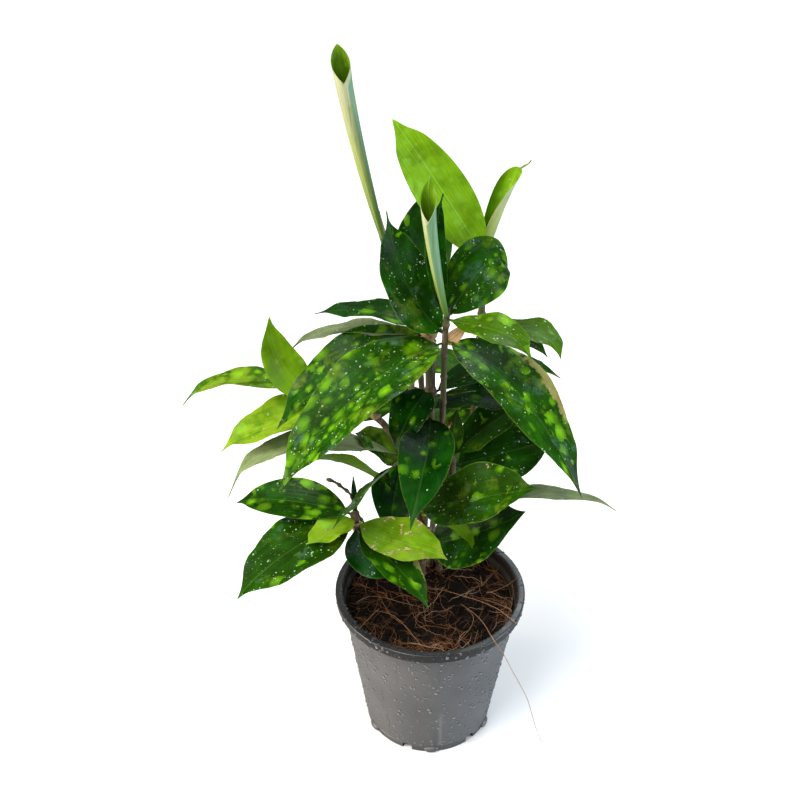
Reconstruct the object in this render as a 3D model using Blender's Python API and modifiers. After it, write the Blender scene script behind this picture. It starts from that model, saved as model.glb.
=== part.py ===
"""Gold dust dracaena in a grey nursery pot.

The pot stands on z = 0 with the middle of its base at the origin. -Y is the front of the
plant. Driving dimensions are in millimetres and are turned into metres as meshes are made.
"""
import math
from dataclasses import dataclass

import bmesh
import bpy
from mathutils import Matrix, Vector, noise

MM = 0.001
UP = Vector((0.0, 0.0, 1.0))
WELD = 0.00002
FINE_WELD = 0.000002
SMOOTH_ANGLE = 40.0

# Pot: a 12 cm injection-moulded nursery pot
RIM_RADIUS = 60.0
RIM_HEIGHT = 106.0
RIM_WIDTH = 4.4
RIM_SKIRT = 6.0
WALL = 1.2
WALL_TOP_RADIUS = 55.6
WALL_FOOT_RADIUS = 42.2
FOOT_RADIUS = 41.2
FOOT_HEIGHT = 5.0
FOOT_WIDTH = 2.4
FLOOR_THICKNESS = 1.6
FLOOR_FILLET = 2.0
EDGE_ROUND = 0.8
DRAFT = 0.4
PAD_RADIUS = 17.0
PAD_SLOPE = 2.0
POT_SIDES = 44
NOTCH_COUNT = 6
NOTCH_WIDTH = 6.5
NOTCH_HEIGHT = 5.6
NOTCH_SIDES = 12
FIRST_NOTCH_ANGLE = -110.0
LUG_RADIUS = 1.9
LUG_HEIGHT = 3.2
LUG_ANGLES = (0.0, 180.0)

# Potting mix
GAP = 0.3
SOIL_EDGE_HEIGHT = 94.5
SOIL_MOUND = 3.0
SOIL_LUMP = 1.7
SOIL_LUMPS_PER_MM = 0.11
SOIL_RINGS = 6
SOIL_SIDES = 32
HOLE_CLEARANCE = 0.6
HOLE_SIDES = 8
HOLE_REACH = 30.0

# Leaves and canes
BLADE_THICKNESS = 0.8
LEAF_STATIONS = 7
SPEAR_STATIONS = 9
SPEAR_STRIPS = 8
WIDE_LEAF = 35.0
CANE_SIDES = 6
CANE_STEP = 18.0
NODE_SPACING = 24.0
NODE_SWELL = 1.3
LOWEST_NODE = 115.0
NODE_HALF_LENGTH = 1.6
NEAR_HANDLE = 0.35
FAR_HANDLE = 0.75
ROOT_SHARE = 0.3
WAVES = 2.5
WAVE_SHIFT = 1.3
FULL_WAVE_WIDTH = 16.0


@dataclass
class Leaf:
    """One leaf: a folded, curled and waved blade on an arching midrib.

    node is the height of its root on the cane, tip is where it ends. The midrib rises by
    lift near the root and by arch near the tip above the straight line between them, and
    bow pushes the whole midrib aside. The blade turns about the midrib by roll at the root
    and by twist more at the tip. Each half rises from the midrib by fold, and curls by cup
    towards its edge, with cup_tip as its value at the tip, reached late where opening is high.
    belly_in and belly_out shape the outline, a larger one leaving that end more pointed.
    root and end are the least half-widths near the root and at the tip.
    """
    node: float
    tip: tuple
    width: float
    lift: float = 14.0
    arch: float = 10.0
    bow: tuple = (0.0, 0.0, 0.0)
    roll: float = 0.0
    twist: float = 0.0
    heading: float = None
    fold: float = 12.0
    cup: float = 6.0
    cup_tip: float = None
    opening: float = 1.0
    belly_in: float = 0.83
    belly_out: float = 1.15
    stalk: float = 0.05
    wave: float = 1.0
    root: float = 0.9
    end: float = 0.5
    strips: int = None


@dataclass
class Stem:
    """A cane of a given radius, by its route from the potting mix upwards, and its leaves."""
    radius: float
    route: list
    leaves: list


STEMS = {
    "leafy_stem_centre": Stem(
        radius=1.7,
        route=[(8, 36, 82), (8, 36, 106), (6, 20, 148), (5, 2, 203),
               (5, -3, 246), (5, -4, 284), (6, -4, 305)],
        leaves=[
            # the rolled spear at the top, the broad leaf behind it, and the dark upright one
            Leaf(300, (-5, -8, 378), 24, lift=2, arch=0, heading=80, fold=0, cup=174, cup_tip=80,
                 opening=3, belly_in=0.5, belly_out=0.4, stalk=0.08, wave=0, root=2.6, end=1.4,
                 strips=SPEAR_STRIPS),
            Leaf(298, (38, 12, 323), 34, lift=14, arch=18, bow=(0, -3, 0), roll=-45, heading=40,
                 belly_in=0.7, belly_out=0.9),
            Leaf(289, (-26, 12, 353), 39, lift=-4, arch=-4, bow=(-5, -4, -7), roll=-18, heading=110,
                 fold=10),
            # the slim leaf to the left and the light one arching to the right
            Leaf(289, (-66, 12, 293), 21, lift=10, arch=7, roll=4),
            Leaf(298, (48, -36, 291), 24, lift=4, arch=16, roll=-20, heading=-20),
            # the two big spotted leaves that hang forwards
            Leaf(285, (76, -60, 222), 44, lift=24, arch=24, fold=10),
            Leaf(284, (-82, -60, 226), 47, lift=20, arch=22, roll=4, fold=10, belly_in=0.62,
                 belly_out=1.0),
        ],
    ),
    "leafy_stem_thick": Stem(
        radius=2.8,
        route=[(-5, 21, 82), (-5, 21, 106), (-4, 12, 159),
               (-2, 5, 225), (-2, 8, 259), (-3, 10, 302)],
        leaves=[
            Leaf(300, (3, 44, 354), 32, lift=0, arch=0, bow=(-7, 3, 0), heading=90, roll=10),
            Leaf(283, (-87, -18, 237), 40, lift=14, arch=14, roll=14),
            Leaf(281, (-85, 25, 262), 18, lift=8, arch=16),
            Leaf(244, (74, 20, 247), 32, lift=18, arch=16),
            Leaf(231, (-14, -80, 217), 33, lift=9, arch=17),
            Leaf(235, (52, 0, 235), 28, bow=(0, 4, 0), lift=10, arch=8),
            Leaf(248, (-22, -16, 221), 28, lift=8, arch=8),
        ],
    ),
    "leafy_stem_back_right": Stem(
        radius=2.0,
        route=[(20, 38, 82), (20, 38, 106), (22, 34, 168),
               (26, 30, 232), (27, 30, 270), (27, 30, 324)],
        leaves=[
            Leaf(318, (-23, 4, 402), 29, lift=3, arch=2, bow=(0, -4, 0), heading=90, roll=-20, fold=8,
                 cup=4, wave=0, belly_in=0.6, belly_out=1.0),
            Leaf(316, (51, 40, 371), 22, bow=(-9, 0, 3), lift=0, arch=0, heading=90, roll=-10, fold=30,
                 cup=70, wave=0, belly_in=0.4, belly_out=0.7, end=1.2),
            Leaf(276, (69, 0, 272), 26, lift=6, arch=12, bow=(7, 0, 2)),
            Leaf(272, (63, 8, 268), 20, lift=6, arch=8),
        ],
    ),
    "leafy_stem_tall_left": Stem(
        radius=1.8,
        route=[(-6, 40, 82), (-6, 40, 106), (-6, 32, 163), (-6, 28, 232),
               (-11, 28, 268), (-20, 30, 299), (-29, 31, 332)],
        leaves=[
            Leaf(329, (-49, 21, 433), 30, lift=0, arch=-2, heading=80, bow=(2, 0, 0), fold=0, cup=176,
                 cup_tip=120, opening=8, belly_in=0.75, belly_out=0.16, wave=0, root=6, end=1.6,
                 strips=SPEAR_STRIPS),
        ],
    ),
    "leafy_stem_left": Stem(
        radius=2.0,
        route=[(-17, 30, 82), (-17, 30, 106), (-17, 12, 160), (-18, 0, 204),
               (-25, 0, 224), (-37, 4, 234), (-65, 14, 240), (-70, 16, 242)],
        leaves=[
            Leaf(240, (-90, 10, 293), 23, lift=-8, arch=-8, bow=(-9, 0, -2), roll=-10, heading=110,
                 belly_in=0.7, belly_out=1.1),
            Leaf(240, (-148, 25, 225), 22, lift=17, arch=18),
            Leaf(238, (-121, -5, 216), 32, lift=6, arch=6, roll=4, fold=16),
            Leaf(207, (-119, -15, 188), 24, lift=20, arch=28),
            Leaf(184, (-79, 20, 182), 24, lift=12, arch=12, roll=-50),
            Leaf(197, (-45, 4, 220), 26, lift=4, arch=4, roll=10),
            Leaf(203, (-68, -72, 201), 20, lift=8, arch=2, roll=-52, twist=16, fold=4, cup=4),
            Leaf(200, (-34, -46, 193), 30, lift=8, arch=8),
        ],
    ),
    "leafy_stem_front_left": Stem(
        radius=2.2,
        route=[(-16, 18, 82), (-16, 18, 106), (-24, 0, 136), (-40, -28, 169), (-45, -35, 192)],
        leaves=[
            Leaf(191, (-113, -20, 188), 31, lift=6, arch=7, roll=16),
            Leaf(190, (-107, -75, 165), 46, lift=13, arch=14),
            Leaf(189, (-61, -54, 169), 28, lift=2, arch=4, roll=10),
            Leaf(187, (7, -60, 180), 38, lift=-4, arch=4, roll=-10),
            Leaf(182, (-4, -78, 156), 32, lift=-2, arch=14),
            Leaf(183, (-12, -38, 155), 30, bow=(-6, 0, -4), lift=0, arch=-4, roll=-50),
        ],
    ),
    "leafy_stem_right": Stem(
        radius=2.0,
        route=[(17, 27, 82), (17, 27, 106), (13, 18, 152), (12, 5, 205)],
        leaves=[
            Leaf(194, (72, 15, 209), 40, lift=0, arch=-2, roll=-35),
            Leaf(203, (54, 18, 231), 28, lift=4, arch=4, roll=-10),
            Leaf(156, (112, 0, 168), 18, lift=14, arch=17),
        ],
    ),
    "leafy_stem_front": Stem(
        radius=2.0,
        route=[(6, 24, 82), (6, 24, 106), (-3, 2, 140), (-10, -8, 181)],
        leaves=[
            Leaf(172, (56, -40, 214), 42, lift=2, arch=0, roll=-28),
            Leaf(137, (52, -30, 190), 46, lift=-4, arch=-6, roll=-42),
            Leaf(168, (24, -24, 153), 9, lift=4, arch=4, roll=-20),
        ],
    ),
    "leafy_stem_back": Stem(
        radius=2.0,
        route=[(1, 31, 82), (1, 31, 106), (4, 46, 142), (6, 58, 176), (6, 61, 192)],
        leaves=[
            Leaf(187, (-54, 116, 160), 38, lift=18, arch=18),
            Leaf(186, (12, 136, 156), 40, lift=20, arch=20),
            Leaf(184, (76, 108, 168), 38, lift=18, arch=18),
            Leaf(162, (-48, 108, 134), 36, lift=12, arch=12),
            Leaf(150, (54, 100, 120), 36, lift=14, arch=14),
            Leaf(142, (-6, 112, 106), 34, lift=12, arch=12),
        ],
    ),
    "leafy_stem_back_tall": Stem(
        radius=2.0,
        route=[(-15, 41, 82), (-15, 41, 106), (-14, 52, 160), (-12, 58, 215), (-11, 60, 250)],
        leaves=[
            Leaf(244, (-66, 100, 200), 38, lift=16, arch=20),
            Leaf(242, (-18, 136, 188), 40, lift=16, arch=20),
            Leaf(236, (50, 112, 200), 38, lift=12, arch=14),
            Leaf(204, (-72, 60, 172), 36, lift=12, arch=14),
        ],
    ),
}


def metres(point):
    return Vector(point) * MM


def clear_scene():
    for item in list(bpy.data.objects):
        bpy.data.objects.remove(item)


def make_collection(name):
    collection = bpy.data.collections.new(name)
    bpy.context.scene.collection.children.link(collection)
    return collection


def make_material(name, colour, roughness):
    material = bpy.data.materials.new(name)
    material.use_nodes = True
    shader = material.node_tree.nodes["Principled BSDF"]
    shader.inputs["Base Color"].default_value = (*colour, 1.0)
    shader.inputs["Roughness"].default_value = roughness
    shader.inputs["Metallic"].default_value = 0.0
    return material


def link_mesh(name, mesh, collection):
    item = bpy.data.objects.new(name, mesh)
    collection.objects.link(item)
    return item


def hide_guide(item):
    item.hide_render = True
    item.display_type = "WIRE"


def empty_collection(collection):
    for item in list(collection.objects):
        bpy.data.objects.remove(item)
    bpy.data.collections.remove(collection)


def finish(item, material):
    """Smooth shading with sharp edges kept, and the piece's material."""
    item.data.shade_smooth()
    item.data.set_sharp_from_angle(angle=math.radians(SMOOTH_ANGLE))
    item.data.materials.append(material)


def join(item, collection, merge):
    """The item's mesh joined with every mesh of a collection, which is then removed."""
    union = item.modifiers.new("join", "BOOLEAN")
    union.operation = "UNION"
    union.operand_type = "COLLECTION"
    union.collection = collection
    union.solver = "MANIFOLD"
    item.data = evaluated_mesh(item, merge)
    item.modifiers.clear()
    empty_collection(collection)


def cut(item, cutter):
    hide_guide(cutter)
    difference = item.modifiers.new(cutter.name, "BOOLEAN")
    difference.operation = "DIFFERENCE"
    difference.object = cutter


def evaluated_mesh(item, merge=WELD):
    """The object's mesh with its modifiers applied, doubles merged."""
    depsgraph = bpy.context.evaluated_depsgraph_get()
    mesh = bpy.data.meshes.new_from_object(item.evaluated_get(depsgraph))
    shape = bmesh.new()
    shape.from_mesh(mesh)
    bmesh.ops.remove_doubles(shape, verts=shape.verts, dist=merge)
    shape.to_mesh(mesh)
    shape.free()
    return mesh


def turned(name, profile, sides, collection):
    """A solid turned from a profile in millimetres that starts and ends on the axis."""
    mesh = bpy.data.meshes.new(name)
    points = [(radius * MM, 0.0, height * MM) for radius, height in profile]
    mesh.from_pydata(points, [(i, i + 1) for i in range(len(points) - 1)], [])
    item = link_mesh(name, mesh, collection)
    screw = item.modifiers.new("turn", "SCREW")
    screw.steps = sides
    screw.render_steps = sides
    screw.use_merge_vertices = True
    screw.merge_threshold = 0.00005
    return item


def smooth_route(points, step):
    """Points about step apart on a smooth curve through the given ones."""
    ends = [points[0]] + list(points) + [points[-1]]
    knots = [Vector(point) for point in ends]
    route = [knots[1]]
    for before, start, end, after in zip(knots, knots[1:], knots[2:], knots[3:]):
        pieces = max(1, round((end - start).length / step))
        for i in range(1, pieces + 1):
            t = i / pieces
            leave = (end - before) * 0.5
            arrive = (after - start) * 0.5
            route.append(
                start * (2 * t ** 3 - 3 * t ** 2 + 1) + leave * (t ** 3 - 2 * t ** 2 + t)
                + end * (3 * t ** 2 - 2 * t ** 3) + arrive * (t ** 3 - t ** 2)
            )
    return route


def route_point(route, height):
    """The point of a route at a height, or its top end above that."""
    for low, high in zip(route, route[1:]):
        if low.z <= height <= high.z and high.z > low.z:
            return low.lerp(high, (height - low.z) / (high.z - low.z))
    return route[-1].copy()


def swollen_nodes(route):
    """The route with three points at each leaf node, and the width of each point."""
    points = [route[0]]
    widths = [1.0]
    travelled = 0.0
    for start, end in zip(route, route[1:]):
        length = (end - start).length
        along = (end - start).normalized()
        travelled += length
        if travelled >= NODE_SPACING and start.z > LOWEST_NODE and length > 4 * NODE_HALF_LENGTH:
            middle = start.lerp(end, 0.5)
            points += [middle - along * NODE_HALF_LENGTH, middle, middle + along * NODE_HALF_LENGTH]
            widths += [1.0, NODE_SWELL, 1.0]
            travelled = 0.0
        points.append(end)
        widths.append(1.0)
    return points, widths


def tube(name, points, widths, radius, sides, collection):
    """A closed tube mesh along points in millimetres, made from a bevelled curve."""
    curve = bpy.data.curves.new(name, "CURVE")
    curve.dimensions = "3D"
    curve.bevel_depth = radius * MM
    curve.bevel_resolution = sides // 2 - 2
    curve.use_fill_caps = True
    spline = curve.splines.new("POLY")
    spline.points.add(len(points) - 1)
    for knot, point, width in zip(spline.points, points, widths):
        knot.co = (*metres(point), 1.0)
        knot.radius = width
    guide = link_mesh(name + "_curve", curve, collection)
    item = link_mesh(name, evaluated_mesh(guide), collection)
    item.matrix_world = guide.matrix_world
    bpy.data.objects.remove(guide)
    return item


def blade_profile(s, leaf):
    """Half-width of the blade along it, from 0 at its ends to 1 at its belly."""
    rise = leaf.belly_in
    fall = leaf.belly_out
    belly = rise / (rise + fall)
    return s ** rise * (1 - s) ** fall / (belly ** rise * (1 - belly) ** fall)


def blade_point(leaf, base, s, q):
    """A point of the blade: s runs from root to tip, q from -1 to 1 across."""
    tip = Vector(leaf.tip)
    chord = tip - base
    if leaf.heading is None:
        ahead = Vector((chord.x, chord.y, 0.0)).normalized()
    else:
        ahead = Matrix.Rotation(math.radians(leaf.heading), 3, "Z") @ Vector((1.0, 0.0, 0.0))
    near = base + chord * NEAR_HANDLE + UP * leaf.lift + Vector(leaf.bow)
    far = base + chord * FAR_HANDLE + UP * leaf.arch + Vector(leaf.bow)
    r = 1 - s
    midrib = base * r ** 3 + near * 3 * s * r ** 2 + far * 3 * s ** 2 * r + tip * s ** 3
    along = ((near - base) * r ** 2 + (far - near) * 2 * s * r + (tip - far) * s ** 2).normalized()
    side = ahead.cross(UP)
    side = (side - along * side.dot(along)).normalized()
    face = side.cross(along)
    turn = math.radians(leaf.roll + leaf.twist * s)
    side, face = (side * math.cos(turn) + face * math.sin(turn),
                  face * math.cos(turn) - side * math.sin(turn))

    blade_s = (s - leaf.stalk) / (1 - leaf.stalk)
    half = leaf.width / 2 * blade_profile(blade_s, leaf) if 0 < blade_s < 1 else 0.0
    half = max(half, leaf.root if s < ROOT_SHARE else leaf.end)
    cup_tip = leaf.cup if leaf.cup_tip is None else leaf.cup_tip
    cup = math.radians(leaf.cup + (cup_tip - leaf.cup) * s ** leaf.opening)
    fold = math.radians(leaf.fold)
    reach = abs(q)
    out = half * (math.sin(fold + cup * reach) - math.sin(fold)) / cup
    rise = half * (math.cos(fold) - math.cos(fold + cup * reach)) / cup
    phase = 2 * math.pi * WAVES * s + (WAVE_SHIFT if q > 0 else 0.0)
    rise += leaf.wave * min(1.0, 2 * half / FULL_WAVE_WIDTH) * reach ** 2 * math.sin(phase)
    return midrib + side * math.copysign(out, q) + face * rise


def leaf_blade(name, leaf, base, collection):
    """A blade as a grid bent to the leaf's form, split into triangles and thickened."""
    strips = leaf.strips or (4 if leaf.width > WIDE_LEAF else 2)
    stations = SPEAR_STATIONS if leaf.strips else LEAF_STATIONS
    shape = bmesh.new()
    bmesh.ops.create_grid(shape, x_segments=strips, y_segments=stations, size=0.5)
    for vert in shape.verts:
        vert.co = blade_point(leaf, base, vert.co.y + 0.5, vert.co.x * 2) * MM
    bmesh.ops.triangulate(shape, faces=shape.faces)
    mesh = bpy.data.meshes.new(name)
    shape.to_mesh(mesh)
    shape.free()
    item = link_mesh(name, mesh, collection)
    solidify = item.modifiers.new("thickness", "SOLIDIFY")
    solidify.thickness = BLADE_THICKNESS * MM
    solidify.offset = 0.0
    item.data = evaluated_mesh(item)
    item.modifiers.clear()
    return item


def make_stem(name, stem, material, collection):
    """A cane and its leaves, joined into one solid whose origin is at the cane's foot."""
    route = smooth_route(stem.route, CANE_STEP)
    points, widths = swollen_nodes(route)
    item = tube(name, points, widths, stem.radius, CANE_SIDES, collection)
    blades = make_collection(name + "_blades")
    for i, leaf in enumerate(stem.leaves):
        leaf_blade(f"{name}_leaf_{i}", leaf, route_point(route, leaf.node), blades)
    join(item, blades, FINE_WELD)
    foot = metres(stem.route[0])
    item.data.transform(Matrix.Translation(-foot))
    item.location = foot
    finish(item, material)
    return item


def polar(radius, angle, height):
    return metres((radius * math.cos(math.radians(angle)), radius * math.sin(math.radians(angle)), height))


def inner_radius(height):
    """Inner radius of the pot's tapered wall at a height."""
    t = (height - FOOT_HEIGHT) / (RIM_HEIGHT - RIM_SKIRT - FOOT_HEIGHT)
    return WALL_FOOT_RADIUS + (WALL_TOP_RADIUS - WALL_FOOT_RADIUS) * t - WALL


def make_lug(angle, collection):
    """A small round lug on the foot, as far round as angle says."""
    shape = bmesh.new()
    bmesh.ops.create_uvsphere(shape, u_segments=10, v_segments=6, radius=LUG_RADIUS * MM)
    bmesh.ops.translate(shape, verts=shape.verts, vec=polar(FOOT_RADIUS - DRAFT, angle, LUG_HEIGHT))
    mesh = bpy.data.meshes.new("lug")
    shape.to_mesh(mesh)
    shape.free()
    return link_mesh("lug", mesh, collection)


def make_notch(angle, collection):
    """The cutter of a drain notch: a slot with a round top, open at the bottom of the foot."""
    shape = bmesh.new()
    radius = NOTCH_WIDTH / 2 * MM
    bmesh.ops.create_cone(shape, cap_ends=True, segments=NOTCH_SIDES, radius1=radius, radius2=radius,
                          depth=3 * FOOT_WIDTH * MM, matrix=Matrix.Rotation(math.radians(90), 4, "Y"))
    low = [vert for vert in shape.verts if vert.co.z < -WELD]
    bmesh.ops.translate(shape, verts=low, vec=-UP * NOTCH_HEIGHT * MM)
    mesh = bpy.data.meshes.new("notch")
    shape.to_mesh(mesh)
    shape.free()
    cutter = link_mesh(f"notch_{angle:.0f}", mesh, collection)
    cutter.location = polar(FOOT_RADIUS - FOOT_WIDTH / 2, angle, NOTCH_HEIGHT - NOTCH_WIDTH / 2)
    cutter.rotation_euler = (0.0, 0.0, math.radians(angle))
    return cutter


def make_pot(collection, cutters):
    """The turned pot, with a rim, a foot ring cut by drain notches, and two stacking lugs."""
    floor_top = FOOT_HEIGHT + FLOOR_THICKNESS
    fillet_top = floor_top + FLOOR_FILLET
    rim_bottom = RIM_HEIGHT - RIM_SKIRT
    foot_inside = FOOT_RADIUS - FOOT_WIDTH
    inside = [
        (0, floor_top), (inner_radius(fillet_top) - FLOOR_FILLET, floor_top),
        (inner_radius(fillet_top), fillet_top), (inner_radius(RIM_HEIGHT - 1), RIM_HEIGHT - 1),
    ]
    rim = [
        (RIM_RADIUS - RIM_WIDTH, RIM_HEIGHT), (RIM_RADIUS - EDGE_ROUND, RIM_HEIGHT),
        (RIM_RADIUS, RIM_HEIGHT - EDGE_ROUND), (RIM_RADIUS - DRAFT, rim_bottom),
    ]
    outside = [
        (WALL_TOP_RADIUS, rim_bottom), (WALL_FOOT_RADIUS, FOOT_HEIGHT),
        (FOOT_RADIUS, FOOT_HEIGHT), (FOOT_RADIUS - DRAFT, 0),
    ]
    underside = [
        (foot_inside, 0), (foot_inside, FOOT_HEIGHT), (PAD_RADIUS + PAD_SLOPE, FOOT_HEIGHT),
        (PAD_RADIUS, 0), (0, 0),
    ]
    pot = turned("pot", inside + rim + outside + underside, POT_SIDES, collection)
    lugs = make_collection("pot_lugs")
    for angle in LUG_ANGLES:
        make_lug(angle, lugs)
    join(pot, lugs, WELD)
    for i in range(NOTCH_COUNT):
        cut(pot, make_notch(FIRST_NOTCH_ANGLE + i * 360 / NOTCH_COUNT, cutters))
    finish(pot, make_material("pot_plastic", (0.13, 0.135, 0.14), 0.45))
    return pot


def make_hole(name, stem, collection):
    """The cutter of a cane's hole in the potting mix, from just under its foot to above it."""
    route = smooth_route(stem.route, CANE_STEP)
    reach = [point for point in route if point.z < SOIL_EDGE_HEIGHT + HOLE_REACH]
    reach[0] -= UP * 2 * GAP
    return tube(f"hole_{name}", reach, [1.0] * len(reach), stem.radius + HOLE_CLEARANCE, HOLE_SIDES,
                collection)


def make_soil(collection, cutters):
    """The potting mix: it fills the pot, with a lumpy top and a plain hole for each cane."""
    bottom = FOOT_HEIGHT + FLOOR_THICKNESS + GAP
    fillet_top = bottom + FLOOR_FILLET
    edge = inner_radius(SOIL_EDGE_HEIGHT) - GAP
    shares = [i / SOIL_RINGS for i in range(SOIL_RINGS + 1)]
    top = [(edge * share, SOIL_EDGE_HEIGHT + SOIL_MOUND * (1 - share ** 2)) for share in shares]
    side = [(inner_radius(fillet_top) - GAP, fillet_top),
            (inner_radius(fillet_top) - GAP - FLOOR_FILLET, bottom), (0, bottom)]
    soil = turned("soil", top + side, SOIL_SIDES, collection)
    soil.data = evaluated_mesh(soil)
    soil.modifiers.clear()
    for vert in soil.data.vertices:
        spot = vert.co / MM
        inside = 1 - (spot.xy.length / edge) ** 4
        if spot.z >= SOIL_EDGE_HEIGHT and inside > 0:
            lumps = Vector((spot.x, spot.y, 0.0)) * SOIL_LUMPS_PER_MM
            vert.co.z += SOIL_LUMP * MM * inside * noise.noise(lumps)
    for name, stem in STEMS.items():
        cut(soil, make_hole(name, stem, cutters))
    finish(soil, make_material("potting_mix", (0.018, 0.011, 0.007), 0.95))
    return soil


clear_scene()
plant = make_collection("gold_dust_dracaena")
cutting = make_collection("cutters")
make_pot(plant, cutting)
make_soil(plant, cutting)
green = make_material("leaf_green", (0.03, 0.16, 0.01), 0.32)
for stem_name, stem_form in STEMS.items():
    make_stem(stem_name, stem_form, green, plant)
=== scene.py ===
import math

import bmesh
import bpy
from mathutils import Matrix, Vector


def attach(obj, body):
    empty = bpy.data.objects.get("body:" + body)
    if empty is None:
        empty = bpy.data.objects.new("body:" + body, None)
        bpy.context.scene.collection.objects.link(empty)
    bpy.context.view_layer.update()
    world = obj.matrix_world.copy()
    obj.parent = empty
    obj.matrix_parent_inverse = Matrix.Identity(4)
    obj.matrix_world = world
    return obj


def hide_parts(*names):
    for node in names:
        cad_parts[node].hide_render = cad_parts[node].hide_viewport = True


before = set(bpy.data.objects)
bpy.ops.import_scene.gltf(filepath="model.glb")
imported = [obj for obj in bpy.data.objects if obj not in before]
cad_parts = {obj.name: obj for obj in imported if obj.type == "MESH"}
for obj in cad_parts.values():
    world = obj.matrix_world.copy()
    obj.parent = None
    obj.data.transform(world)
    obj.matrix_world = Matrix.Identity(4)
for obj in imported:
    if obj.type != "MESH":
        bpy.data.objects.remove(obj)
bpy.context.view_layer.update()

# Pot: a 12 cm nursery pot, injection-moulded in one piece from grey recycled polypropylene.
# A thin tapered wall ends in a turned-down rim. It stands on a foot ring that is cut by six
# drain notches and carries six flat stacking lugs. Sizes are in millimetres.
MM = 0.001
RIM_RADIUS = 60.0
RIM_HEIGHT = 106.0
RIM_BOTTOM = 100.0
WALL_TOP_RADIUS = 55.6
WALL_FOOT_RADIUS = 42.2
FOOT_RADIUS = 42.0
FOOT_HEIGHT = 5.0
WALL = 1.2
FLOOR_TOP = 6.6
FLOOR_FILLET = 2.0
GROOVE_RADIUS = 41.4
FOOT_INNER_RADIUS = 38.8
PAD_RADIUS = 17.0
POT_STEPS = 160
NOTCHES = 6
FIRST_NOTCH_ANGLE = -110
NOTCH_WIDTH = 6.5
NOTCH_HEIGHT = 5.6
NOTCH_DEPTH = 7.2
NOTCH_MIDDLE_RADIUS = 40
LUGS = 6
FIRST_LUG_ANGLE = -148
LUG_RADIUS = 2.5
LUG_FORM = (1.0, 2.0, 0.9, 1.0)
LUG_PLACE = (41.5, 0, 2.7)
# Where the pale streak of painted highlight runs down the front of the wall.
HIGHLIGHT_STREAK_X = 6.7
HIGHLIGHT_STREAK_TOP = 46
ARC_STEPS = 5
SHARP_ANGLE = 38


class Value:
    """The output of a node, in a geometry or a shader tree, that plain arithmetic works on."""

    def __init__(self, tree, socket):
        self.tree = tree
        self.socket = socket

    def out(self, name):
        return Value(self.tree, self.socket.node.outputs[name])

    def __add__(self, other):
        return calc("ADD", self, other)

    def __radd__(self, other):
        return calc("ADD", other, self)

    def __sub__(self, other):
        return calc("SUBTRACT", self, other)

    def __rsub__(self, other):
        return calc("SUBTRACT", other, self)

    def __mul__(self, other):
        return calc("MULTIPLY", self, other)

    def __rmul__(self, other):
        return calc("MULTIPLY", other, self)

    def __truediv__(self, other):
        return calc("DIVIDE", self, other)

    def __rtruediv__(self, other):
        return calc("DIVIDE", other, self)

    def __pow__(self, other):
        return calc("POWER", self, other)

    def __abs__(self):
        return calc("ABSOLUTE", self)

    def __lt__(self, other):
        return calc("LESS_THAN", self, other)

    def __gt__(self, other):
        return calc("GREATER_THAN", self, other)


def calc(operation, *terms):
    """A Math node, or a Vector Math node where a term is a vector or a colour."""
    values = [term for term in terms if isinstance(term, Value)]
    of_vectors = any(isinstance(term, tuple) for term in terms) or any(
        value.socket.type in ("VECTOR", "RGBA") for value in values)
    tree = values[0].tree
    made = tree.nodes.new("ShaderNodeVectorMath" if of_vectors else "ShaderNodeMath")
    made.operation = operation
    for socket, term in zip(made.inputs, terms):
        if isinstance(term, Value):
            tree.links.new(term.socket, socket)
        elif of_vectors and not isinstance(term, tuple):
            socket.default_value = (term, term, term)
        else:
            socket.default_value = term
    single = operation in ("DOT_PRODUCT", "LENGTH", "DISTANCE") or not of_vectors
    return Value(tree, made.outputs["Value" if single else "Vector"])


def add(tree, kind, settings=None, **feeds):
    """A node with its settings made and its inputs fed by name, and its first output."""
    made = tree.nodes.new(kind)
    for setting, choice in (settings or {}).items():
        setattr(made, setting, choice)
    for label, term in feeds.items():
        name = label.replace("_", " ")
        socket = next(s for s in made.inputs if s.name == name and s.enabled)
        if isinstance(term, Value):
            tree.links.new(term.socket, socket)
        else:
            socket.default_value = term
    outputs = [s for s in made.outputs if s.enabled]
    return Value(tree, outputs[0]) if outputs else made


def ramp(value, low, high):
    """0 below low, 1 above high, and a soft rise between them."""
    return add(value.tree, "ShaderNodeMapRange", {"interpolation_type": "SMOOTHSTEP"},
               Value=value, From_Min=low, From_Max=high)


def mixed(first, second, share):
    """Goes from the first colour or number to the second as share goes from 0 to 1."""
    return share * second + (1.0 - share) * first


def noise(where, scale, detail=2.0, roughness=0.5):
    return add(where.tree, "ShaderNodeTexNoise", Vector=where, Scale=scale, Detail=detail,
               Roughness=roughness)


def parts(vector):
    split = add(vector.tree, "ShaderNodeSeparateXYZ", Vector=vector)
    return split.out("X"), split.out("Y"), split.out("Z")


def vector_of(x, y, z):
    tree = next(term for term in (x, y, z) if isinstance(term, Value)).tree
    return add(tree, "ShaderNodeCombineXYZ", X=x, Y=y, Z=z)


def off_axis(x, y):
    """How far a place is from the pot's axis."""
    return calc("LENGTH", vector_of(x, y, 0.0))


def new_material(name, **constants):
    """A material with fixed values on its shader, its node tree, and its shader."""
    material = bpy.data.materials.new(name)
    material.use_nodes = True
    shader = material.node_tree.nodes["Principled BSDF"]
    for label, number in constants.items():
        shader.inputs[label.replace("_", " ")].default_value = number
    return material, material.node_tree, shader


def surface(shader, height=None, distance=0.0001, **looks):
    """Feeds the shader's colour and roughness, and its normal by a bump of some height."""
    tree = shader.id_data
    for label, value in looks.items():
        socket = shader.inputs[label.replace("_", " ")]
        if isinstance(value, Value):
            tree.links.new(value.socket, socket)
        else:
            socket.default_value = value
    if height is not None:
        bump = add(tree, "ShaderNodeBump", Height=height, Distance=distance)
        tree.links.new(bump.socket, shader.inputs["Normal"])


def place_of(tree):
    return add(tree, "ShaderNodeTexCoord").out("Object")


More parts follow.
